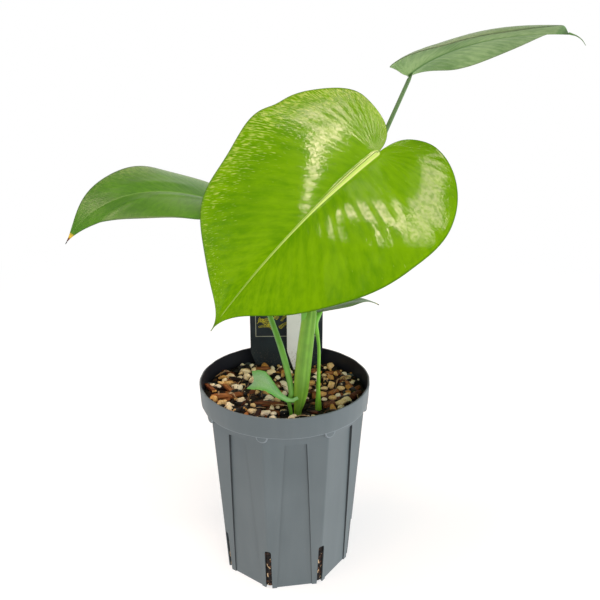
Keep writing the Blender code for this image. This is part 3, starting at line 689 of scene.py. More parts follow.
# Millimetres and degrees. At its hub a blade has a heading, a rise and a roll; at its tip it has turned and
# twisted on from those and has the slope "fall". "trough" lifts the halves from the midrib, "dome" bows
# them down and "cup" lifts their lobes. A half's outline goes through its rear lobe (back, out) and its
# widest place (widest, half), with handles, and dents of (place, depth, breadth). "wave" is the height of
# the margin's waves, "puff" and "keel" are how far the tissue and the midrib stand out, and "ribs" are
# (place, half width) of the midrib. "knee" is how far under the hub the stalk bends toward it. "creases"
# and "folds" are read by crease_height and fold_height.
LEAVES = {
    "large_leaf": {
        "hub": (59.6, -5.0, 299.6), "heading": -165.0, "turn": -6.0, "rise": -34.0, "fall": -52.0,
        "bend": 1.0, "length": 155.5, "roll": -38.0, "twist": 14.0, "trough": 7.5, "dome": 5.0, "cup": -5.0,
        "left": {"back": 28.5, "out": 24.5, "widest": 35, "half": 77.5, "shoulder": 87, "drip": 28,
                 "full": 0.55, "dents": []},
        "right": {"back": 24, "out": 39, "widest": 46, "half": 88, "shoulder": 79, "drip": 27,
                  "full": 0.50, "dents": [(0.432, 2.8, 0.022), (0.54, 6.5, 0.075)]},
        "wave": 1.3, "waves": 5, "knee": 9, "puff": 0.10, "keel": 1.0,
        "ribs": ((0, 2.1), (25, 1.9), (50, 1.1), (60, 0.9), (110, 0.75), (156, 0.25)),
        "creases": ((1, 0.44, 0.57, 0.12, 0.75, 0.16), (1, 0.53, 0.63, 0.05, 0.45, 0.16),
                    (-1, 0.08, 0.40, 0.15, 0.95, 0.10)),
        "folds": ((1, 47, 12, 27, 56, 0.45, 11),)},
    "left_leaf": {
        "hub": (-34.6, 77.0, 253.9), "heading": 199.0, "turn": 6.5, "rise": 21.0, "fall": -57.0,
        "bend": 1.7, "length": 130.0, "roll": -11.0, "twist": -17.5, "trough": 7.0, "dome": 5.5, "cup": 4.0,
        "left": {"back": 15, "out": 19, "widest": 36, "half": 40.5, "shoulder": 38.5, "drip": 13,
                 "full": 0.55, "dents": []},
        "right": {"back": 15, "out": 19, "widest": 39, "half": 43, "shoulder": 38.5, "drip": 22,
                  "full": 0.55, "dents": []},
        "wave": 0.8, "waves": 4, "knee": 10, "puff": 0.08, "keel": 0.65,
        "ribs": ((0, 1.2), (60, 0.8), (130, 0.25)), "creases": (),
        "folds": ((1, 18, 7, 54, 6, 0.5, 3.0), (1, 68, 9, 102, 13, 0.6, 3.0),
                  (-1, 30, 14, 80, 12, 0.4, 4.0))},
    "upper_leaf": {
        "hub": (86.0, 18.6, 346.9), "heading": -22.0, "turn": 6.0, "rise": 48.0, "fall": -3.0,
        "bend": 0.5, "length": 104.0, "roll": -14.5, "twist": 9.5, "trough": 16.0, "dome": 19.0, "cup": 4.5,
        "left": {"back": 2, "out": 12, "widest": 48, "half": 45.5, "shoulder": 48.5, "drip": 7.5,
                 "full": 0.46, "dents": []},
        "right": {"back": 2, "out": 11, "widest": 58, "half": 42, "shoulder": 39, "drip": 7,
                  "full": 1.15, "dents": []},
        "wave": 0.3, "waves": 4, "knee": 0, "puff": 0.12, "keel": 0.6,
        "ribs": ((0, 1.2), (50, 0.8), (104, 0.25)), "creases": (), "folds": ()},
    "small_leaf": {
        "hub": (20.8, -14.0, 199.3), "heading": 10.0, "turn": 0.0, "rise": 8.0, "fall": -36.0,
        "bend": 3.0, "length": 46.0, "roll": -3.0, "twist": 0.0, "trough": 8.0, "dome": 2.0, "cup": 0.0,
        "left": {"back": 3, "out": 4, "widest": 15, "half": 11, "shoulder": 14, "drip": 9,
                 "full": 0.55, "dents": []},
        "right": {"back": 3, "out": 4, "widest": 15, "half": 9, "shoulder": 14, "drip": 9,
                  "full": 0.55, "dents": []},
        "wave": 0.3, "waves": 3, "knee": 1.5, "puff": 0.08, "keel": 0.35,
        "ribs": ((0, 0.6), (46, 0.2)), "creases": (), "folds": ()},
}


def cubic(p0, p1, p2, p3, t):
    """A point of a Bezier curve."""
    s = 1 - t
    return p0 * s ** 3 + p1 * 3 * t * s * s + p2 * 3 * t * t * s + p3 * t ** 3


def margin_point(half, length, t):
    """A point of the flat half blade's edge: x along the midrib from the hub, y out from it."""
    hub = Vector((0, 0))
    rear = Vector((-half["back"], half["out"]))
    wide = Vector((half["widest"], half["half"]))
    tip = Vector((length, 0))
    if t < 0.25:
        return cubic(hub, hub + Vector((-0.75 * half["back"], 0.02 * half["out"])),
                     rear - Vector((0, ROUNDNESS * half["out"])), rear, t * 4)
    if t < 0.5:
        return cubic(rear, rear + Vector((0, half["full"] * (half["half"] - half["out"]))),
                     wide - Vector((half["full"] * (half["widest"] + half["back"]), 0)), wide, t * 4 - 1)
    return cubic(wide, wide + Vector((half["shoulder"], 0)), tip - Vector((half["drip"], 0)), tip, t * 2 - 1)


def dented_margin_point(half, length, t):
    """The same with the half's dents."""
    point = margin_point(half, length, t)
    step = 0.01
    run = margin_point(half, length, min(t + step, 1)) - margin_point(half, length, max(t - step, 0))
    inward = Vector((run.y, -run.x)).normalized()
    dip = sum(depth * math.exp(-((t - place) / breadth) ** 2) for place, depth, breadth in half["dents"])
    return point + inward * dip


def spine(leaf, along):
    """The midrib's point and its forward and left directions, `along` millimetres from the hub."""
    length = leaf["length"]
    point = Vector((0, 0, 0))
    for k in range(SPINE_STEPS + 1):
        share = max(0.0, along / length) * k / SPINE_STEPS
        bend = share ** leaf["bend"] if share > 0 else 0.0
        slope = math.radians(leaf["rise"] + (leaf["fall"] - leaf["rise"]) * bend)
        heading = math.radians(leaf["heading"] + leaf["turn"] * bend)
        forward = Vector((math.cos(slope) * math.cos(heading), math.cos(slope) * math.sin(heading),
                          math.sin(slope)))
        weight = 0.5 if k in (0, SPINE_STEPS) else 1.0
        point += forward * along / SPINE_STEPS * weight
    eased = (along / length + math.hypot(along / length, TWIST_EASE)) / 2
    roll = math.radians(leaf["roll"] + leaf["twist"] * eased)
    level = Vector((-math.sin(heading), math.cos(heading), 0))
    left = level * math.cos(roll) + forward.cross(level) * math.sin(roll)
    return Vector(leaf["hub"]) + point, forward, left


def smooth_step(low, high, value):
    """0 below low, 1 above high, and an eased climb between them."""
    share = min(max((value - low) / (high - low), 0.0), 1.0)
    return share * share * (3 - 2 * share)


def rib_half_width(leaf, along):
    """Half the midrib's width in millimetres."""
    stops = leaf["ribs"]
    for (a, wide), (b, narrow) in zip(stops, stops[1:]):
        if along < b:
            return wide + (narrow - wide) * max(0.0, (along - a) / (b - a))
    return stops[-1][1]


def crease_height(leaf, side, t, reach):
    """How far the tissue stands up between the veins: the blade's puff, and more in its creases, each of
    which has a side, the stretches of t and of reach that it covers, and an extra height."""
    height = leaf["puff"]
    for crease_side, t_low, t_high, reach_low, reach_high, extra in leaf["creases"]:
        if side == crease_side:
            inside = smooth_step(t_low, t_low + 0.06, t) * (1 - smooth_step(t_high - 0.06, t_high, t))
            inside *= smooth_step(reach_low, reach_low + 0.12, reach)
            inside *= 1 - smooth_step(reach_high - 0.25, reach_high, reach)
            height += extra * inside
    return height


def fold_height(leaf, side, along, out):
    """Low folds on one half of the blade: a ridge from one place to another, its height and its breadth."""
    height = 0.0
    for fold_side, start_along, start_out, end_along, end_out, size, breadth in leaf["folds"]:
        if side == fold_side:
            line = Vector((end_along - start_along, end_out - start_out))
            offset = Vector((along - start_along, out - start_out))
            share = offset.dot(line) / line.length_squared
            across = (offset.x * line.y - offset.y * line.x) / line.length
            ends = smooth_step(-0.25, 0.1, share) * (1 - smooth_step(0.9, 1.25, share))
            height += size * ends * math.exp(-(across / breadth) ** 2)
    return height


def vein_place(t, reach):
    """Which vein, counted as a share of the margin, runs through a place of the blade."""
    return t - VEIN_BOW * reach ** 2.5 * (1 - t)


def blade_point(leaf, side, t, reach):
    """A point of the blade, its marks, and its place in midrib half widths to the left of the midrib: side
    is 1 for the left half and -1 for the right, t runs along the margin from the sinus to the tip, and
    reach from 0 at the midrib to 1 at the margin."""
    half = leaf["left"] if side > 0 else leaf["right"]
    edge = dented_margin_point(half, leaf["length"], t)
    root = leaf["length"] * (max(0.0, t - FAN_SHARE) / (1 - FAN_SHARE)) ** ROOT_POWER
    along = root + (edge.x - root) * reach
    out = edge.y * reach
    point, forward, left = spine(leaf, along)
    up = forward.cross(left)
    cupping = leaf["cup"] * smooth_step(0, 1, 1 - along / (CUP_REACH * leaf["length"]))
    lift = out * math.tan(math.radians(leaf["trough"] + cupping))
    lift -= leaf["dome"] * (out / leaf["left"]["half"]) ** 2
    lift += leaf["wave"] * math.sin(math.tau * leaf["waves"] * t) * math.sin(math.pi * t) * reach ** 3
    lift += fold_height(leaf, side, along, out)
    off_rib = out if along > 0 else math.hypot(along, out)
    rib_place = off_rib / rib_half_width(leaf, along)
    rib = math.exp(-rib_place ** 2)
    veins = PRIMARY_VEINS * vein_place(t, reach)
    spread = math.hypot(edge.x - root, edge.y) * reach
    puffing = crease_height(leaf, side, t, reach) * smooth_step(1, 14, spread)
    puffing *= 1 - 0.7 * smooth_step(0.75, 1.0, reach)
    puffing *= 1 - smooth_step(0.9, 1.0, t)
    lift += puffing * abs(math.sin(math.pi * veins)) ** 0.8
    off_vein = abs(veins - round(veins)) * leaf["length"] / PRIMARY_VEINS * (0.2 + reach)
    vein = math.exp(-(off_vein / VEIN_BREADTH) ** 2) * (1 - reach ** 4) * smooth_step(3, 20, spread)
    marks = (rib, vein, reach, along / leaf["length"])
    return point + left * (side * out) + up * lift, marks, side * min(rib_place, 4)


def blade_grid(leaf):
    """The blade's middle surface: points, marks, leaf coordinates, and faces with the upper side out."""
    points, marks, coords, faces = [], [], [], []
    index_of = {}
    rows = {}
    for side in (1, -1):
        for i in range(MARGIN_STEPS + 1):
            t = i / MARGIN_STEPS
            row = []
            for j in range(VEIN_STEPS + 1):
                key = (side, i, j)
                if i == 0 or (j == 0 and t <= FAN_SHARE):
                    key = "hub"
                elif i == MARGIN_STEPS:
                    key = "tip"
                elif j == 0:
                    key = ("midrib", i)
                if key not in index_of:
                    index_of[key] = len(points)
                    reach = (j / VEIN_STEPS) ** VEIN_SPACING_POWER
                    point, mark, rib_place = blade_point(leaf, side, t, reach)
                    points.append(point * MM)
                    marks.append(mark)
                    coords.append((vein_place(t, reach), side * (0.02 + reach), rib_place))
                row.append(index_of[key])
            rows[side, i] = row
    for side in (1, -1):
        for i in range(MARGIN_STEPS):
            for j in range(VEIN_STEPS):
                a, b = rows[side, i][j:j + 2]
                d, c = rows[side, i + 1][j:j + 2]
                corners = []
                for corner in (a, d, c, b):
                    if corner not in corners:
                        corners.append(corner)
                if len(corners) > 2:
                    faces.append(tuple(corners) if side > 0 else tuple(reversed(corners)))
    return points, marks, coords, faces


def surface_normals(points, faces):
    """The upward direction at each point."""
    normals = [Vector() for _ in points]
    for face in faces:
        a, b, c = (points[k] for k in face[:3])
        turn = (b - a).cross(c - a)
        if len(face) == 4:
            turn += (c - a).cross(points[face[3]] - a)
        for k in face:
            normals[k] += turn
    return [n.normalized() for n in normals]


def blade(name, grid, keel_depth, top, under, raised_rib=0.0):
    """A closed blade: an upper and a lower surface with their own relief, and a rounded rim."""
    points, marks, coords, faces = grid
    normals = surface_normals(points, faces)
    upper, lower = [], []
    for point, normal, (rib, vein, reach, along), (_, _, rib_place) in zip(points, normals, marks, coords):
        keel = keel_depth * rib * (1 - 0.8 * min(max(along, 0), 1))
        thin = 1 - 0.35 * reach ** 3
        crest = raised_rib * (1 - smooth_step(0.8, 1.5, abs(rib_place))) * (1 - smooth_step(0.3, 0.45, along))
        upper.append(point + normal * (BLADE / 2 * thin + (crest - 0.12 * keel) * MM))
        lower.append(point - normal * (BLADE / 2 * thin + (keel + 0.12 * vein) * MM))
    count = len(points)
    rim_edges = {}       # the edges with a face on one side only, in order
    for face in faces:
        for a, b in zip(face, face[1:] + face[:1]):
            if not rim_edges.pop((b, a), False):
                rim_edges[a, b] = True
    outward = {}
    for a, b in rim_edges:
        push = (points[b] - points[a]).cross(normals[a])
        for k in (a, b):
            outward[k] = outward.get(k, Vector()) + push
    rim_index = {}
    rim = []
    for k, push in outward.items():
        rim_index[k] = 2 * count + len(rim)
        rim.append(points[k] + push.normalized() * RIM_ROUND)
    all_faces = list(faces) + [tuple(count + k for k in reversed(face)) for face in faces]
    sorts = [0] * len(faces) + [1] * len(faces)
    for a, b in rim_edges:
        all_faces.append((b, a, rim_index[a], rim_index[b]))
        all_faces.append((rim_index[b], rim_index[a], count + a, count + b))
        sorts += [0, 1]
    thing = piece(name + "_blade", upper + lower + rim, all_faces, [top, under], sorts)
    for attribute, kind, channel, values in (("marks", "FLOAT_COLOR", "color", marks),
                                             ("leaf_place", "FLOAT_VECTOR", "vector", coords)):
        whole = values + values + [values[k] for k in rim_index]
        add_attribute(thing, attribute, kind, channel, [number for row in whole for number in row])
    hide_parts(name)
    return thing


def leaf_skin(name, body, deep, rib_colours, vein_colour, edge_colour, roughness=0.5, gloss=0.4, wax=0.0,
              wax_roughness=0.3, vein_share=0.3, flecks_and_glints=0.0, fleck_and_glint_colour="#FFFFFF", fleck_and_glint_fan=(0.48, 0.7),
              tip_colours=None, edge_start=0.985):
    """Leaf skin under a coat of wax: a body colour clouded with a deeper one, pale dashes that thin out
    over a stretch of the margin (fleck_and_glint_fan), which are painted glints on the big blade's puckers
    and pale spots on the other leaves, faint veins, a midrib coloured across by (place in half widths,
    colour) stops, a thin dark edge, a tip in its own colours (start, band, middle, end), and fine puckers
    along the veins.
    The wax is a share, or a function that draws its own."""
    material, tree = new_material(name)
    marks = node(tree, "Attribute", attribute_name="marks")
    along = marks.outputs["Alpha"]
    _, vein, reach = node(tree, "SeparateColor", [marks.outputs["Color"]]).outputs
    leaf_place = node(tree, "Attribute", attribute_name="leaf_place").outputs["Vector"]
    fan, side, rib_place = node(tree, "SeparateXYZ", [leaf_place]).outputs
    place = node(tree, "TexCoord").outputs["Object"]

    cloud = node(tree, "TexNoise", {"Vector": place, "Scale": 1 / (30 * MM), "Detail": 3.0})
    cells = node(tree, "Mapping", {"Vector": leaf_place, "Scale": (75.0, 6.0, 0.0)})
    streaks = node(tree, "TexNoise", {"Vector": cells, "Scale": 1.0, "Detail": 3.0, "Roughness": 0.6})
    mottled = node(tree, "Mix", {0: 0.5, 2: cloud, 3: streaks}, data_type="FLOAT")
    green = node(tree, "ValToRGB", [mottled], ((0.38, deep), (0.6, body)))

    # Pale dashes: on the big blade they are painted glints on the puckers toward its right half's margin, and
    # on the other leaves pale spots.
    rareness = node(tree, "MapRange", [side, -0.35, -0.95, 0.78, 0.54])
    thinning = node(tree, "MapRange", [fan, *fleck_and_glint_fan, 0.0, 0.12])
    least = node(tree, "Math", [rareness, thinning])
    dashed = node(tree, "Mapping", {"Vector": leaf_place, "Scale": (400.0, 15.0, 0.0)})
    dashes = node(tree, "TexNoise", {"Vector": dashed, "Scale": 1.0, "Detail": 1.0})
    over = node(tree, "Math", [dashes, least], operation="SUBTRACT")
    fleck = node(tree, "MapRange", [over, -0.08, 0.08, 0.0, flecks_and_glints])
    flecked_and_glinting = node(tree, "Mix", {0: fleck, 6: green, 7: linear(fleck_and_glint_colour)}, data_type="RGBA")

    veined_share = node(tree, "Math", [vein, vein_share], operation="MULTIPLY")
    veined = node(tree, "Mix", {0: veined_share, 6: flecked_and_glinting, 7: linear(vein_colour)}, data_type="RGBA")
    off_rib = node(tree, "Math", [rib_place], operation="ABSOLUTE")
    on_rib = node(tree, "MapRange", [off_rib, 0.9, 1.25, 1.0, 0.0])
    paling = node(tree, "MapRange", [along, 0.33, 0.75, 1.0, 0.35])
    rib_share = node(tree, "Math", [on_rib, paling], operation="MULTIPLY")
    across = node(tree, "MapRange", [rib_place, -RIB_SPAN, RIB_SPAN])
    rib_stops = [(0.5 + spot / (2 * RIB_SPAN), colour) for spot, colour in rib_colours]
    rib_colour = node(tree, "ValToRGB", [across], rib_stops)
    ribbed = node(tree, "Mix", {0: rib_share, 6: veined, 7: rib_colour}, data_type="RGBA")
    edge = node(tree, "MapRange", [reach, edge_start, 1.0, 0.0, 0.75])
    colour = node(tree, "Mix", {0: edge, 6: ribbed, 7: linear(edge_colour)}, data_type="RGBA")
    # The tip colours: withered browns on the green upper skin, and deeper greens toward the tip on the lime
    # skin and the undersides.
    if tip_colours:
        start, band, tip_middle, end = tip_colours
        share = node(tree, "MapRange", [along, start, 1.0])
        tip = node(tree, "ValToRGB", [share], ((0.0, band), (0.3, band), (0.45, tip_middle), (0.8, end)))
        past_tip_start = node(tree, "MapRange", [along, start - 0.008, start + 0.006])
        colour = node(tree, "Mix", {0: past_tip_start, 6: colour, 7: tip}, data_type="RGBA")

    fine = node(tree, "Mapping", {"Vector": leaf_place, "Scale": (150.0, 26.0, 0.0)})
    pucker = node(tree, "TexNoise", {"Vector": fine, "Scale": 1.0, "Detail": 3.0})
    swelling = node(tree, "MapRange", [side, -0.45, -0.95, 0.35, 1.5])
    blisters = node(tree, "Math", [pucker, swelling], operation="MULTIPLY")
    pores = node(tree, "TexNoise", {"Vector": place, "Scale": 1 / (1.2 * MM), "Detail": 2.0})
    relief = node(tree, "Bump", {"Strength": 0.5, "Distance": 0.17 * MM, "Height": streaks})
    relief = node(tree, "Bump", {"Strength": 0.6, "Distance": 0.2 * MM, "Height": blisters, "Normal": relief})
    relief = node(tree, "Bump", {"Strength": 0.5, "Distance": 0.02 * MM, "Height": pores, "Normal": relief})
    rough = node(tree, "MapRange", [pucker, 0.3, 0.7, roughness, roughness + 0.1])
    finish_shader(tree, {"Base Color": colour, "Roughness": rough, "Specular IOR Level": gloss,
                         "Coat Weight": wax(tree, fan, side, place) if callable(wax) else wax,
                         "Coat IOR": 1.5, "Coat Roughness": wax_roughness, "Normal": relief,
                         "Coat Normal": relief})
    return material


def large_leaf_wax(tree, fan, side, place):
    """How much the wax of the big blade still shines: dull past a line across the lower half, between the
    hub and the row of patches right of the midrib, in the creases between those patches, and toward the
    left rim, and worn in small spots."""
    down_blade = node(tree, "Math", [fan, 3.5, side], operation="MULTIPLY_ADD")
    upper_half = node(tree, "MapRange", [down_blade, 2.47, 2.6, 1.0, 0.015])
    off_rim = node(tree, "MapRange", [side, -0.72, -0.86, 1.0, 0.3])
    near_hub = node(tree, "MapRange", [fan, 0.3, 0.38, 0.6, 0.0])
    rim = node(tree, "Math", [off_rim, near_hub], operation="MAXIMUM")
    vein_turn = node(tree, "Math", [fan, math.pi * PRIMARY_VEINS], operation="MULTIPLY")
    crease = node(tree, "Math", [vein_turn], operation="SINE")
    swell = node(tree, "Math", [crease], operation="ABSOLUTE")
    patch = node(tree, "MapRange", [swell, 0.45, 0.7, 0.1, 1.0])
    row_line = node(tree, "Math", [fan, 2.9, side], operation="MULTIPLY_ADD")
    past_line = node(tree, "MapRange", [row_line, 1.79, 1.87, 0.1, 1.0])
    row = node(tree, "Math", [past_line, patch], operation="MULTIPLY")
    left_half = node(tree, "MapRange", [side, 0.0, -0.02, 0.0, 1.0])
    row_and_left = node(tree, "Math", [row, left_half], operation="MAXIMUM")
    right_rim = node(tree, "MapRange", [side, 0.56, 0.64, 0.1, 1.0])
    kept = node(tree, "Math", [row_and_left, right_rim], operation="MAXIMUM")
    spots = node(tree, "TexNoise", {"Vector": place, "Scale": 1 / (2.2 * MM), "Detail": 3.0})
    worn = node(tree, "MapRange", [spots, 0.42, 0.6, 1.0, 0.5])
    unveiled = node(tree, "Math", [upper_half, rim], operation="MULTIPLY")
    unworn = node(tree, "Math", [kept, worn], operation="MULTIPLY")
    return node(tree, "Math", [unveiled, unworn], operation="MULTIPLY")


RIB_SPAN = 1.2              # midrib half widths to either side that its colours cover
# The dark stops at -0.72 and -0.55 are painted shade in the groove on the right-half side of the midrib.
YOUNG_RIB = ((-1.1, "#B9D45C"), (-0.85, "#D2E290"), (-0.72, "#4A7410"), (-0.55, "#527C14"),
             (-0.42, "#B4D262"), (0.4, "#BEDA70"), (0.85, "#D4E490"), (1.1, "#9CC040"))
# The big blade's pale dashes are painted glints on its puckers.
lime_top = leaf_skin(
    "lime_leaf_upper_skin", "#6D9C01", "#558700", YOUNG_RIB, "#88B216", "#3F6212",
    roughness=0.6, gloss=0.03, wax=large_leaf_wax, wax_roughness=0.08, vein_share=0.2,
    flecks_and_glints=0.5, fleck_and_glint_colour="#CCDA72", tip_colours=(0.925, "#62900A", "#567E08", "#486C0A"))
lime_under = leaf_skin(
    "lime_leaf_under_skin", "#8DB33E", "#7DA834", ((0, "#B9CE86"),), "#A8C468", "#5B7A30")
green_top = leaf_skin(
    "green_leaf_upper_skin", "#4C820F", "#386C0C", ((0, "#5F8C34"),), "#5C8A38", "#3E5A2E",
    gloss=0.2, wax=0.75, wax_roughness=0.35, vein_share=0.1, flecks_and_glints=0.4, fleck_and_glint_colour="#B9CC7A",
    fleck_and_glint_fan=(0.62, 0.8), tip_colours=(0.94, "#C8AC2E", "#6E3A1E", "#1E1917"), edge_start=0.95)
green_under = leaf_skin(
    "green_leaf_under_skin", "#88A468", "#5A7F3C", ((0, "#587C40"),), "#4A6E36", "#55683E",
    vein_share=0.45, flecks_and_glints=0.5, fleck_and_glint_colour="#B8CC86",
    tip_colours=(0.91, "#5A8440", "#456E2C", "#3A5A26"), edge_start=0.96)
# Painted shade: a darker, greyer copy of the green upper skin, for the upper leaf's top only.
shaded_top = leaf_skin(
    "shaded_leaf_upper_skin", "#6C8E58", "#547A3E", ((0, "#5F8C34"),), "#5C8A38", "#3E4A38",
    gloss=0.3, wax=0.35, wax_roughness=0.25, vein_share=0.1, flecks_and_glints=0.3, fleck_and_glint_colour="#A8BE8C",
    edge_start=0.95)

for name, leaf in LEAVES.items():
    young = name == "large_leaf"
    top = lime_top if young else shaded_top if name == "upper_leaf" else green_top
    thing = blade(name, blade_grid(leaf), leaf["keel"], top, lime_under if young else green_under,
                  raised_rib=0.3 if young else 0.0)

# Stems and leaf stalks
# Fleshy green stalks, each with a shallow channel and fine lengthwise fibres; the main stem is wrapped
# in the sheaths of its leaves, whose thin pale edges run up its front.
SIDES = 28
PATH_STEPS = 10
HUB_INSET = 1.4             # how far along the midrib a stalk meets its blade, in millimetres
STALK_GAP = 0.35            # between a stalk's end and the underside of its blade, in millimetres


def smooth_path(points):
    """Points along a Catmull-Rom curve through the given points."""
    knots = [Vector(p) for p in points]
    knots = [knots[0] * 2 - knots[1]] + knots + [knots[-1] * 2 - knots[-2]]
    path = []
    for k in range(1, len(knots) - 2):
        a, b, c, d = knots[k - 1:k + 3]
        for t in (step / PATH_STEPS for step in range(PATH_STEPS)):
            path.append(0.5 * (2 * b + (c - a) * t + (2 * a - 5 * b + 4 * c - d) * t * t
                               + (3 * b - 3 * c + d - a) * t ** 3))
    path.append(knots[-2])
    return path


def stalk(name, points, radii, skin, flatten=1.0, end_along=None, ridge=None):
    """A tube through the points; `ridge` gives a share of the radius to add at (turn, share of height)."""
    path = smooth_path([Vector(p) * MM for p in points])
    widths = [w.x for w in smooth_path([Vector((r, 0, 0)) * MM for r in radii])]
    turns = [math.tau * j / SIDES for j in range(SIDES)]
    heights = [k / (len(path) - 1) for k in range(len(path))]
    side = seen_from_front(1, 0)
    rings = []
    for k, point in enumerate(path):
        along = (path[min(k + 1, len(path) - 1)] - path[max(k - 1, 0)]).normalized()
        if end_along and k == len(path) - 1:
            along = end_along
        across = (side - along * side.dot(along)).normalized()
        back = along.cross(across)
        ring = []
        for turn in turns:
            radius = widths[k] * (1 + (ridge(turn, heights[k]) if ridge else 0.0))
            ring.append(point + across * radius * math.cos(turn) + back * radius * flatten * math.sin(turn))
        rings.append(ring)
    thing = piece(name, *stack(rings), [skin])
    add_attribute(thing, "height", "FLOAT", "value", [h for h in heights for turn in turns] + [0.0, 1.0])
    add_attribute(thing, "around", "FLOAT", "value",
                  [math.cos(turn) for h in heights for turn in turns] + [0.0, 0.0])
    return thing


def stalk_skin(name, colours, streak, stripe_width, streak_share=0.5):
    """Living stalk: green from a low to a high colour, or in bands of (place, colour) from one side to the
    other, with fine lengthwise fibres and a waxy half gloss."""
    material, tree = new_material(name)
    height = node(tree, "Attribute", attribute_name="height").outputs["Fac"]
    around = node(tree, "Attribute", attribute_name="around").outputs["Fac"]
    place = node(tree, "TexCoord").outputs["Object"]
    if len(colours) > 2:
        across = node(tree, "MapRange", [around, -1.0, 1.0])
        base = node(tree, "ValToRGB", [across], colours)
    else:
        low, high = (linear(colour) for colour in colours)
        base = node(tree, "Mix", {0: height, 6: low, 7: high}, data_type="RGBA")
    strip = node(tree, "CombineXYZ", [around, height, 0.0])
    stretched = node(tree, "Mapping", {"Vector": strip, "Scale": (stripe_width, 2.2, 1.0)})
    fibres = node(tree, "TexNoise", {"Vector": stretched, "Scale": 1.0, "Detail": 3.0})
    mask = node(tree, "MapRange", [fibres, 0.42, 0.72, 0.0, streak_share])
    striped = node(tree, "Mix", {0: mask, 6: base, 7: linear(streak)}, data_type="RGBA")
    blotch = node(tree, "TexNoise", {"Vector": place, "Scale": 1 / (7 * MM), "Detail": 3.0})
    shade = node(tree, "MapRange", [blotch, 0.3, 0.7, 0.86, 1.1])
    colour = node(tree, "VectorMath", {0: striped, 3: shade}, operation="SCALE")
    bump = node(tree, "Bump", {"Strength": 0.5, "Distance": 0.15 * MM, "Height": fibres})
    rough = node(tree, "MapRange", [blotch, 0.3, 0.7, 0.34, 0.46])
    finish_shader(tree, {"Base Color": colour, "Roughness": rough, "IOR": 1.42, "Subsurface Weight": 0.15,
                         "Subsurface Radius": (0.5, 1.0, 0.2), "Subsurface Scale": MM, "Normal": bump})
    return material


def sheath_ridges(turn, height):
    """The main stem's overlapping sheaths: two edges that wind slowly up its front."""
    grow = 0.0
    for place, lean, size in ((4.35, 0.5, 0.10), (5.25, -0.35, 0.08), (3.6, 0.3, 0.06)):
        off = (turn - place - lean * height + math.pi) % math.tau - math.pi
        grow += size * math.exp(-(off / 0.16) ** 2) - size * 0.7 * math.exp(-((off - 0.34) / 0.2) ** 2)
    return grow


def channel(depth):
    """A shallow channel along the back of a stalk."""
    return lambda turn, height: -depth * math.exp(-((turn - math.pi / 2) / 0.5) ** 2)


# Painted light and shade: these bands make the main stem lightest on the viewer's left and darkest a little
# right of its middle.
main_skin = stalk_skin("main_stem_sheath", ((0.0, "#8FB030"), (0.15, "#76A02A"), (0.3, "#6A982C"),
                                            (0.5, "#62922A"), (0.62, "#74A236"), (0.72, "#558424"),
                                            (1.0, "#6A982C")), "#96BA50", 5.0, 0.2)
stalk_green = stalk_skin("stalk_skin", ("#66A82E", "#6B9A4C"), "#86B458", 3.0)
thin_green = stalk_skin("thin_stalk_skin", ("#7DB82A", "#569C2C"), "#9CC860", 3.0)
grey_green = stalk_skin("older_stalk_skin", ("#4E7630", "#5A7646"), "#78926A", 5.0)

# The points of each path, its radii, how flat it is, its ridge or channel, and its skin
STALKS = {
    "main_stem": (
        [(4.0, -33.5, 118.3), (4.0, -33.5, 133.3), (5.2, -33.6, 141), (6.4, -33.6, 151), (8.6, -32.8, 174),
         (11.2, -31.8, 196), (12.0, -31.2, 201), (12.8, -30.4, 205.5)],
        (2.5, 2.5, 3.7, 4.9, 5.2, 4.8, 4.7, 4.0), 0.8, sheath_ridges, main_skin),
    "large_leaf_stalk": (
        [(9.0, -31.8, 196.5), (10.2, -30.5, 213), (21, -22, 246), (44, -7, 279)],
        (2.4, 2.4, 2.3, 2.1, 2.0, 1.9), 1.0, channel(0.2), stalk_green),
    "upper_leaf_stalk": (
        [(13.9, -31.4, 196.5), (18, -26, 210), (43, -1, 260), (72.4, 20, 311.8)],
        (1.6, 1.7, 1.7, 1.5, 1.3), 1.0, channel(0.2), grey_green),
    "left_leaf_stalk": (
        [(-0.4, -33.5, 118.3), (-0.4, -33.5, 133.3), (-1.7, -33.5, 142), (-0.2, -32.5, 151), (-4.3, -21, 173),
         (-10.3, 0, 192.5), (-20, 40, 225)],
        (1.2, 1.2, 1.4, 1.9, 2.1, 1.8, 1.7, 1.6, 1.5), 1.0, channel(0.2), stalk_green),
    "small_leaf_stalk": (
        [(19.2, -27.5, 118.3), (19.2, -27.5, 133.3), (19.2, -26.5, 146), (20.3, -22, 171), (19.6, -19.5, 183),
         (18.0, -17, 191)],
        (2.2, 2.2, 1.4, 1.1, 1.3, 2.7, 1.6, 1.3), 1.0, channel(0.15), thin_green),
}

for name, (points, radii, flatten, ridge, skin) in STALKS.items():
    end_along = None
    leaf_name = name.replace("_stalk", "")
    if leaf_name in LEAVES:
        leaf = LEAVES[leaf_name]
        point, forward, left = spine(leaf, HUB_INSET)
        end_along = forward.cross(left)
        end = point - end_along * (BLADE / 2 / MM + STALK_GAP)
        bend = [end - end_along * leaf["knee"]] if leaf["knee"] else []
        points = points + bend + [end]
    thing = stalk(name + "_fine", points, radii, skin, flatten, end_along, ridge)
    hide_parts(name)

# The thread that the upper leaf's tip draws out into
tip = blade_point(LEAVES["upper_leaf"], 1, 1.0, 1.0)[0]
drip_path = [tip + Vector(step) for step in ((-1.6, 0.2, 0.5), (0, 0, 0), (3.5, -0.5, -1.1),
                                             (7, -1.1, -3.4), (9.6, -1.5, -6.6))]
thread = stalk("upper_leaf_drip_tip", drip_path, (0.7, 0.6, 0.35, 0.25, 0.15), grey_green)

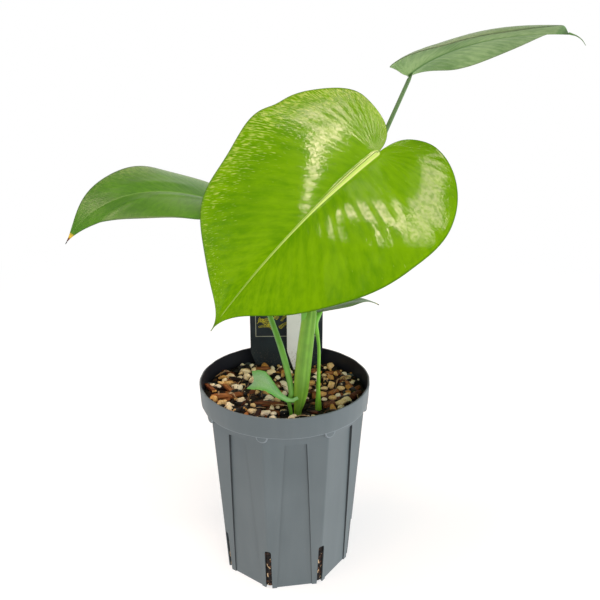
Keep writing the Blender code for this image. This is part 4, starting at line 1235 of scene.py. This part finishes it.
# First leaf
# The small blunt blade at the foot of the stem: a soft strap that widens to a notched end.
FIRST_LEAF_PATH = ((3.6, -37.6, 146.6), (-1.5, -38.4, 145.6), (-8.5, -37, 149), (-15, -33.5, 154.5),
                   (-20.5, -29.5, 157), (-25.5, -26, 156))
FIRST_LEAF_HALF_WIDTHS = (1.1, 1.4, 2.2, 4.2, 7.0, 6.6)
FIRST_LEAF_TILT = math.radians(38)
FIRST_LEAF_COLUMNS = 20
FIRST_LEAF_RIB = 0.5 * MM    # half the midrib's width
NOTCH = 1.3 * MM             # how far its end's middle lies back and its sides reach on


def first_leaf_grid():
    """The small blade's middle surface, in the same form as blade_grid gives."""
    path = smooth_path([Vector(p) * MM for p in FIRST_LEAF_PATH])
    widths = [w.x * MM for w in smooth_path([Vector((w, 0, 0)) for w in FIRST_LEAF_HALF_WIDTHS])]
    columns = FIRST_LEAF_COLUMNS
    points, marks, coords, faces = [], [], [], []
    for k, point in enumerate(path):
        forward = (path[min(k + 1, len(path) - 1)] - path[max(k - 1, 0)]).normalized()
        level = Vector((-forward.y, forward.x, 0)).normalized()
        left = level * math.cos(FIRST_LEAF_TILT) - forward.cross(level) * math.sin(FIRST_LEAF_TILT)
        up = forward.cross(left)
        share = k / (len(path) - 1)
        end = smooth_step(0.8, 1.0, share)
        for c in range(columns + 1):
            across = 2 * c / columns - 1
            ragged = 0.5 * noise.noise(Vector((k * 0.35, across * 2, 5))) * abs(across) ** 4 * MM
            place = point + left * (across * widths[k] + ragged) + up * 0.25 * widths[k] * (across ** 2 - 0.4)
            place -= forward * NOTCH * math.cos(math.pi * across) * end
            place += up * 0.35 * MM * math.sin(9 * share + 3 * across) * share
            points.append(place)
            rib_place = across * widths[k] / FIRST_LEAF_RIB
            marks.append((math.exp(-rib_place ** 2), 0.0, abs(across), share))
            coords.append((share, across, min(max(rib_place, -4), 4)))
    for k in range(len(path) - 1):
        for c in range(columns):
            a = k * (columns + 1) + c
            b = a + columns + 1
            faces.append((a, b, b + 1, a + 1))
    return points, marks, coords, faces


pale_skin = leaf_skin("pale_leaf_upper_skin", "#93BC88", "#5E9E50", ((0, "#82B46C"),), "#8DB883",
                      "#56A81C", roughness=0.45, wax=0.8, wax_roughness=0.2, edge_start=0.5)
first_leaf = blade("basal_leaf", first_leaf_grid(), 0.25, pale_skin, pale_skin)

# Labels
# Two flat plastic labels stuck in the mix: a wide black picture tag with a plain foliage pattern
# printed on it, and a narrow white writing label, here left blank.
LABEL_THICK = 0.8 * MM
LABEL_EDGE = 0.12 * MM      # how far its edges are rounded
TAG_FOOT_HALF = 17 * MM
TAG_SHOULDER = SOIL_TOP + 12 * MM
TAG_TOP = SOIL_TOP + 76 * MM
TAG_BOTTOM = SOIL_TOP - 18 * MM
NAME_TIP = SOIL_TOP - 9 * MM
NAME_SHOULDER = NAME_TIP + 24 * MM
NAME_TOP = SOIL_TOP + 74 * MM
CORNER_STEPS = 5


def rounded(outline, radius):
    """The outline with its corners rounded."""
    made = []
    count = len(outline)
    for k in range(count):
        before, here, after = (Vector(outline[(k + d) % count]) for d in (-1, 0, 1))
        cut = min(radius, (before - here).length * 0.45, (after - here).length * 0.45)
        start = here + (before - here).normalized() * cut
        end = here + (after - here).normalized() * cut
        for t in (step / CORNER_STEPS for step in range(CORNER_STEPS + 1)):
            made.append(tuple(start * (1 - t) ** 2 + here * 2 * t * (1 - t) + end * t * t))
    return made


def plate(name, half_outline, radius, place, material):
    """A thin upright plate facing the viewer, with rounded corners and edges, from the right half of its
    outline."""
    mirrored = [(-x, z) for x, z in reversed(half_outline)]
    outline = rounded(mirrored[-1:] + half_outline + mirrored[:-1], radius)
    mesh = bpy.data.meshes.new(name)
    sides = len(outline)
    points = [(x, y, z) for y in (LABEL_THICK / 2, -LABEL_THICK / 2) for x, z in outline]
    faces = [tuple(range(sides)), tuple(reversed(range(sides, 2 * sides)))]
    faces += [((k + 1) % sides, k, sides + k, sides + (k + 1) % sides) for k in range(sides)]
    mesh.from_pydata(points, [], faces)
    mesh.materials.append(material)
    mesh.transform(Matrix.Translation(place) @ Matrix.Rotation(VIEW_TURN, 4, "Z"))
    thing = bpy.data.objects.new(name, mesh)
    bpy.context.scene.collection.objects.link(thing)
    bevel = thing.modifiers.new("edge", "BEVEL")
    bevel.width = LABEL_EDGE
    bevel.segments = 2
    bake_modifiers(thing)
    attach(thing, "root")
    return thing


def card(name, colours, fleck, gloss, speck_size):
    """Calendered plastic sheet: smooth, with dust, splashes near its foot and fine scratches."""
    material, tree = new_material(name)
    place = node(tree, "TexCoord").outputs["Object"]
    height = node(tree, "SeparateXYZ", [place]).outputs["Z"]
    cloud = node(tree, "TexNoise", {"Vector": place, "Scale": 1 / (14 * MM), "Detail": 3.0})
    base = node(tree, "ValToRGB", [cloud], ((0.3, colours[0]), (0.7, colours[1])))
    dust = node(tree, "TexNoise", {"Vector": place, "Scale": 1 / (speck_size * MM), "Detail": 3.0})
    least = node(tree, "MapRange", [height, SOIL_TOP, SOIL_TOP + 26 * MM, 0.52, 0.68])
    over = node(tree, "Math", [dust, least], operation="SUBTRACT")
    specks = node(tree, "MapRange", [over, 0.0, 0.08, 0.0, 0.6])
    colour = node(tree, "Mix", {0: specks, 6: base, 7: linear(fleck)}, data_type="RGBA")
    streaky = node(tree, "Mapping", {"Vector": place, "Scale": (1 / (0.5 * MM), 1 / (6 * MM), 1 / (9 * MM))})
    scratch = node(tree, "TexNoise", {"Vector": streaky, "Scale": 1.0, "Detail": 2.0})
    bump = node(tree, "Bump", {"Strength": 0.3, "Distance": 0.03 * MM, "Height": scratch})
    rough = node(tree, "MapRange", [scratch, 0.3, 0.7, gloss, gloss + 0.12])
    finish_shader(tree, {"Base Color": colour, "Roughness": rough, "IOR": 1.5, "Normal": bump})
    return material


tag_place = seen_from_front(TAG_ACROSS, TAG_AWAY)
tag = plate("picture_tag_card", [(TAG_FOOT_HALF, TAG_BOTTOM), (TAG_HALF, TAG_SHOULDER), (TAG_HALF, TAG_TOP)],
            2.5 * MM, tag_place, card("black_plastic_sheet", ("#1E272E", "#28333A"), "#5A5650", 0.3, 1.1))
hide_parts("picture_tag")

label = plate("name_label_blank",
              [(0.1 * NAME_HALF, NAME_TIP), (NAME_HALF, NAME_SHOULDER), (NAME_HALF, NAME_TOP)], 1.2 * MM,
              seen_from_front(NAME_ACROSS, NAME_AWAY),
              card("white_plastic_sheet", ("#ECECE8", "#F4F4F0"), "#A89C7C", 0.4, 1.4))
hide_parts("name_label")

# The printed pattern: small leaves in a frame line, in ink that is a hair proud of the card
PRINT_PROUD = LABEL_THICK / 2 + 0.03 * MM
FRAME_BOTTOM = SOIL_TOP + 24.5 * MM
FRAME_TOP = TAG_TOP - 6 * MM
FRAME_HALF = TAG_HALF - 4 * MM
FRAME_LINE = 0.5 * MM
FROND_START = 3.5 * MM      # the least distance from the frame line at which a frond starts
FROND_STOP = 2.6 * MM       # and the one at which it stops
FROND_STEP = 1.1 * MM
FROND_PAIRS = 9             # of leaflets
FRONDS = 52
YELLOW, PALE = range(2)     # the two inks, in the order of the print's material slots


def flat_leaf(x, z, length, width, turn):
    """A little pointed leaf in the plane of the card."""
    outline = []
    for k in range(7):
        outline.append((length * (k / 6 - 0.5), width / 2 * math.sin(math.pi * k / 6) ** 0.8))
    for k in range(5, 0, -1):
        outline.append((length * (k / 6 - 0.5), -width / 2 * math.sin(math.pi * k / 6) ** 0.8))
    return [(x + a * math.cos(turn) - b * math.sin(turn), z + a * math.sin(turn) + b * math.cos(turn))
            for a, b in outline]


ink_vertices, ink_faces, ink_sorts = [], [], []


def print_shape(outline, ink):
    """Add a flat shape in one of the inks to the print."""
    start = len(ink_vertices)
    for x, z in outline:
        ink_vertices.append(tag_place + seen_from_front(x, -PRINT_PROUD, z))
    ink_faces.append(tuple(range(start, start + len(outline))))
    ink_sorts.append(ink)


low_line, high_line = FRAME_BOTTOM + FRAME_LINE, FRAME_TOP - FRAME_LINE
for left, right, low, high in ((-FRAME_HALF, FRAME_HALF, FRAME_BOTTOM, low_line),
                               (-FRAME_HALF, FRAME_HALF, high_line, FRAME_TOP),
                               (-FRAME_HALF, -FRAME_HALF + FRAME_LINE, low_line, high_line),
                               (FRAME_HALF - FRAME_LINE, FRAME_HALF, low_line, high_line)):
    print_shape([(left, low), (right, low), (right, high), (left, high)], PALE)
for number in range(FRONDS):
    x = rng.uniform(-FRAME_HALF + FROND_START, FRAME_HALF - FROND_START)
    z = rng.uniform(FRAME_BOTTOM + FROND_START, FRAME_TOP - FROND_START)
    heading = rng.uniform(0, math.tau)
    bend = rng.uniform(-0.12, 0.12)
    for step in range(FROND_PAIRS):
        x += FROND_STEP * math.cos(heading)
        z += FROND_STEP * math.sin(heading)
        heading += bend
        if abs(x) > FRAME_HALF - FROND_STOP or not FRAME_BOTTOM + FROND_STOP < z < FRAME_TOP - FROND_STOP:
            break
        for turn in (heading - 1.0, heading + 1.0):
            reach = (2.0 - 0.13 * step) * MM
            print_shape(flat_leaf(x + reach * math.cos(turn) * 0.5, z + reach * math.sin(turn) * 0.5, reach,
                                  0.42 * MM, turn), YELLOW)
inks = [card("yellow_print", ("#D8C61E", "#F2E63A"), "#8C9A1E", 0.35, 0.8),
        card("pale_print", ("#A8A894", "#BEBEA8"), "#8C9A1E", 0.35, 0.8)]
ink = piece("picture_tag_print", ink_vertices, ink_faces, inks, ink_sorts)

# Studio
# A plain pale floor that fades into white walls and a dim ceiling. Long warm lamps overhead show as the
# broken highlights in the leaves' wax, and neutral bounces add matt light that no gloss mirrors.
FLOOR_REACH = 30
LAMP_DISTANCE = 6
BOUNCE_DISTANCE = 3
PLANT_MIDDLE = Vector((0.02, -0.02, 0.27))
floor_mesh = bpy.data.meshes.new("floor")
floor_corners = [(x * FLOOR_REACH, y * FLOOR_REACH, 0) for x, y in ((-1, -1), (1, -1), (1, 1), (-1, 1))]
floor_mesh.from_pydata(floor_corners, [], [(0, 1, 2, 3)])
floor = bpy.data.objects.new("floor", floor_mesh)
bpy.context.scene.collection.objects.link(floor)
floor_paint, floor_tree = new_material("pale_studio_floor")
floor_place = node(floor_tree, "TexCoord").outputs["Object"]
from_pot = node(floor_tree, "VectorMath", [floor_place], operation="LENGTH")
glow = node(floor_tree, "MapRange", [from_pot, 0.15, 0.9, 0.7, 1.0], interpolation_type="SMOOTHSTEP")
paint = node(floor_tree, "MapRange", [from_pot, 0.15, 0.9, 0.4, 0.0], interpolation_type="SMOOTHSTEP")
finish_shader(floor_tree, {"Base Color": paint, "Roughness": 1.0, "Specular IOR Level": 0.0,
                           "Emission Color": linear("#FFFFFF"), "Emission Strength": glow})
floor_mesh.materials.append(floor_paint)

world = bpy.data.worlds.new("studio")
bpy.context.scene.world = world
world.use_nodes = True
sky = world.node_tree
direction = node(sky, "TexCoord").outputs["Generated"]
height = node(sky, "SeparateXYZ", [direction]).outputs["Z"]
brightness = node(sky, "MapRange", [height, 0.25, 0.62, 1.0, 0.05], interpolation_type="SMOOTHSTEP")
feed(sky, sky.nodes["Background"], {"Color": linear("#FFFFFF"), "Strength": brightness})


def way_to(across, away):
    """The direction that many degrees from straight up, to the right and away from the front."""
    tilt = math.radians(math.hypot(across, away))
    turn = math.atan2(across, away)
    return Vector((math.sin(turn) * math.sin(tilt), math.cos(turn) * math.sin(tilt), math.cos(tilt)))


def long_light(name, start, end, width, radiance, mirrored):
    """A long area light facing the plant, from one direction to another: a lamp that the wax mirrors, or
    else a bounce. Its width is a share of its distance."""
    distance = LAMP_DISTANCE if mirrored else BOUNCE_DISTANCE
    start, end = way_to(*start) * distance, way_to(*end) * distance
    away = ((start + end) / 2).normalized()
    long_way = (end - start) - away * (end - start).dot(away)
    data = bpy.data.lights.new(name, "AREA")
    data.shape = "RECTANGLE"
    data.size = long_way.length
    data.size_y = width * distance
    data.energy = radiance * math.pi * data.size * data.size_y
    data.color = linear("#FFDFC8" if mirrored else "#FFFFFF")[:3]
    light = bpy.data.objects.new(name, data)
    long_way.normalize()
    turned = Matrix((long_way, away.cross(long_way), away)).transposed().to_4x4()
    light.matrix_world = Matrix.Translation(PLANT_MIDDLE + (start + end) / 2) @ turned
    light.visible_glossy = mirrored
    bpy.context.scene.collection.objects.link(light)


# Each from one (across, away) to another in degrees from straight up, with its width and radiance
BAND = ((-15.8, -8.0), (-18.2, -11.8), (-20.8, -16.0), (-25.5, -19.2), (-29.0, -21.3))
LAMPS = [(f"lamp_band_{number}", start, end, 0.03, 26)
         for number, (start, end) in enumerate(zip(BAND, BAND[1:]))]
LAMPS += [("lamp_patch", (-14.4, -4.6), (-11.6, -9.0), 0.055, 21),
          ("lamp_row", (-32, 2.8), (5, -2.2), 0.1, 13),
          ("lamp_right", (-9, -24), (13, -3), 0.17, 9),
          ("lamp_behind_left", (-34, 17), (-26, 28), 0.1, 3),
          ("lamp_behind", (0, 44), (12, 62), 0.35, 0.8)]
BOUNCES = [("ceiling_bounce", (-14, -16), (2, 12), 0.5, 2.1),
           ("front_bounce", (44, -50), (0, -64), 0.6, 2.5),
           ("right_bounce", (92, -16), (80, -18), 0.3, 26.0),
           ("left_bounce", (-82, -25), (-60, -20), 0.3, 1.5)]
for light in LAMPS:
    long_light(*light, mirrored=True)
for light in BOUNCES:
    long_light(*light, mirrored=False)
bpy.context.scene.view_settings.view_transform = "Standard"
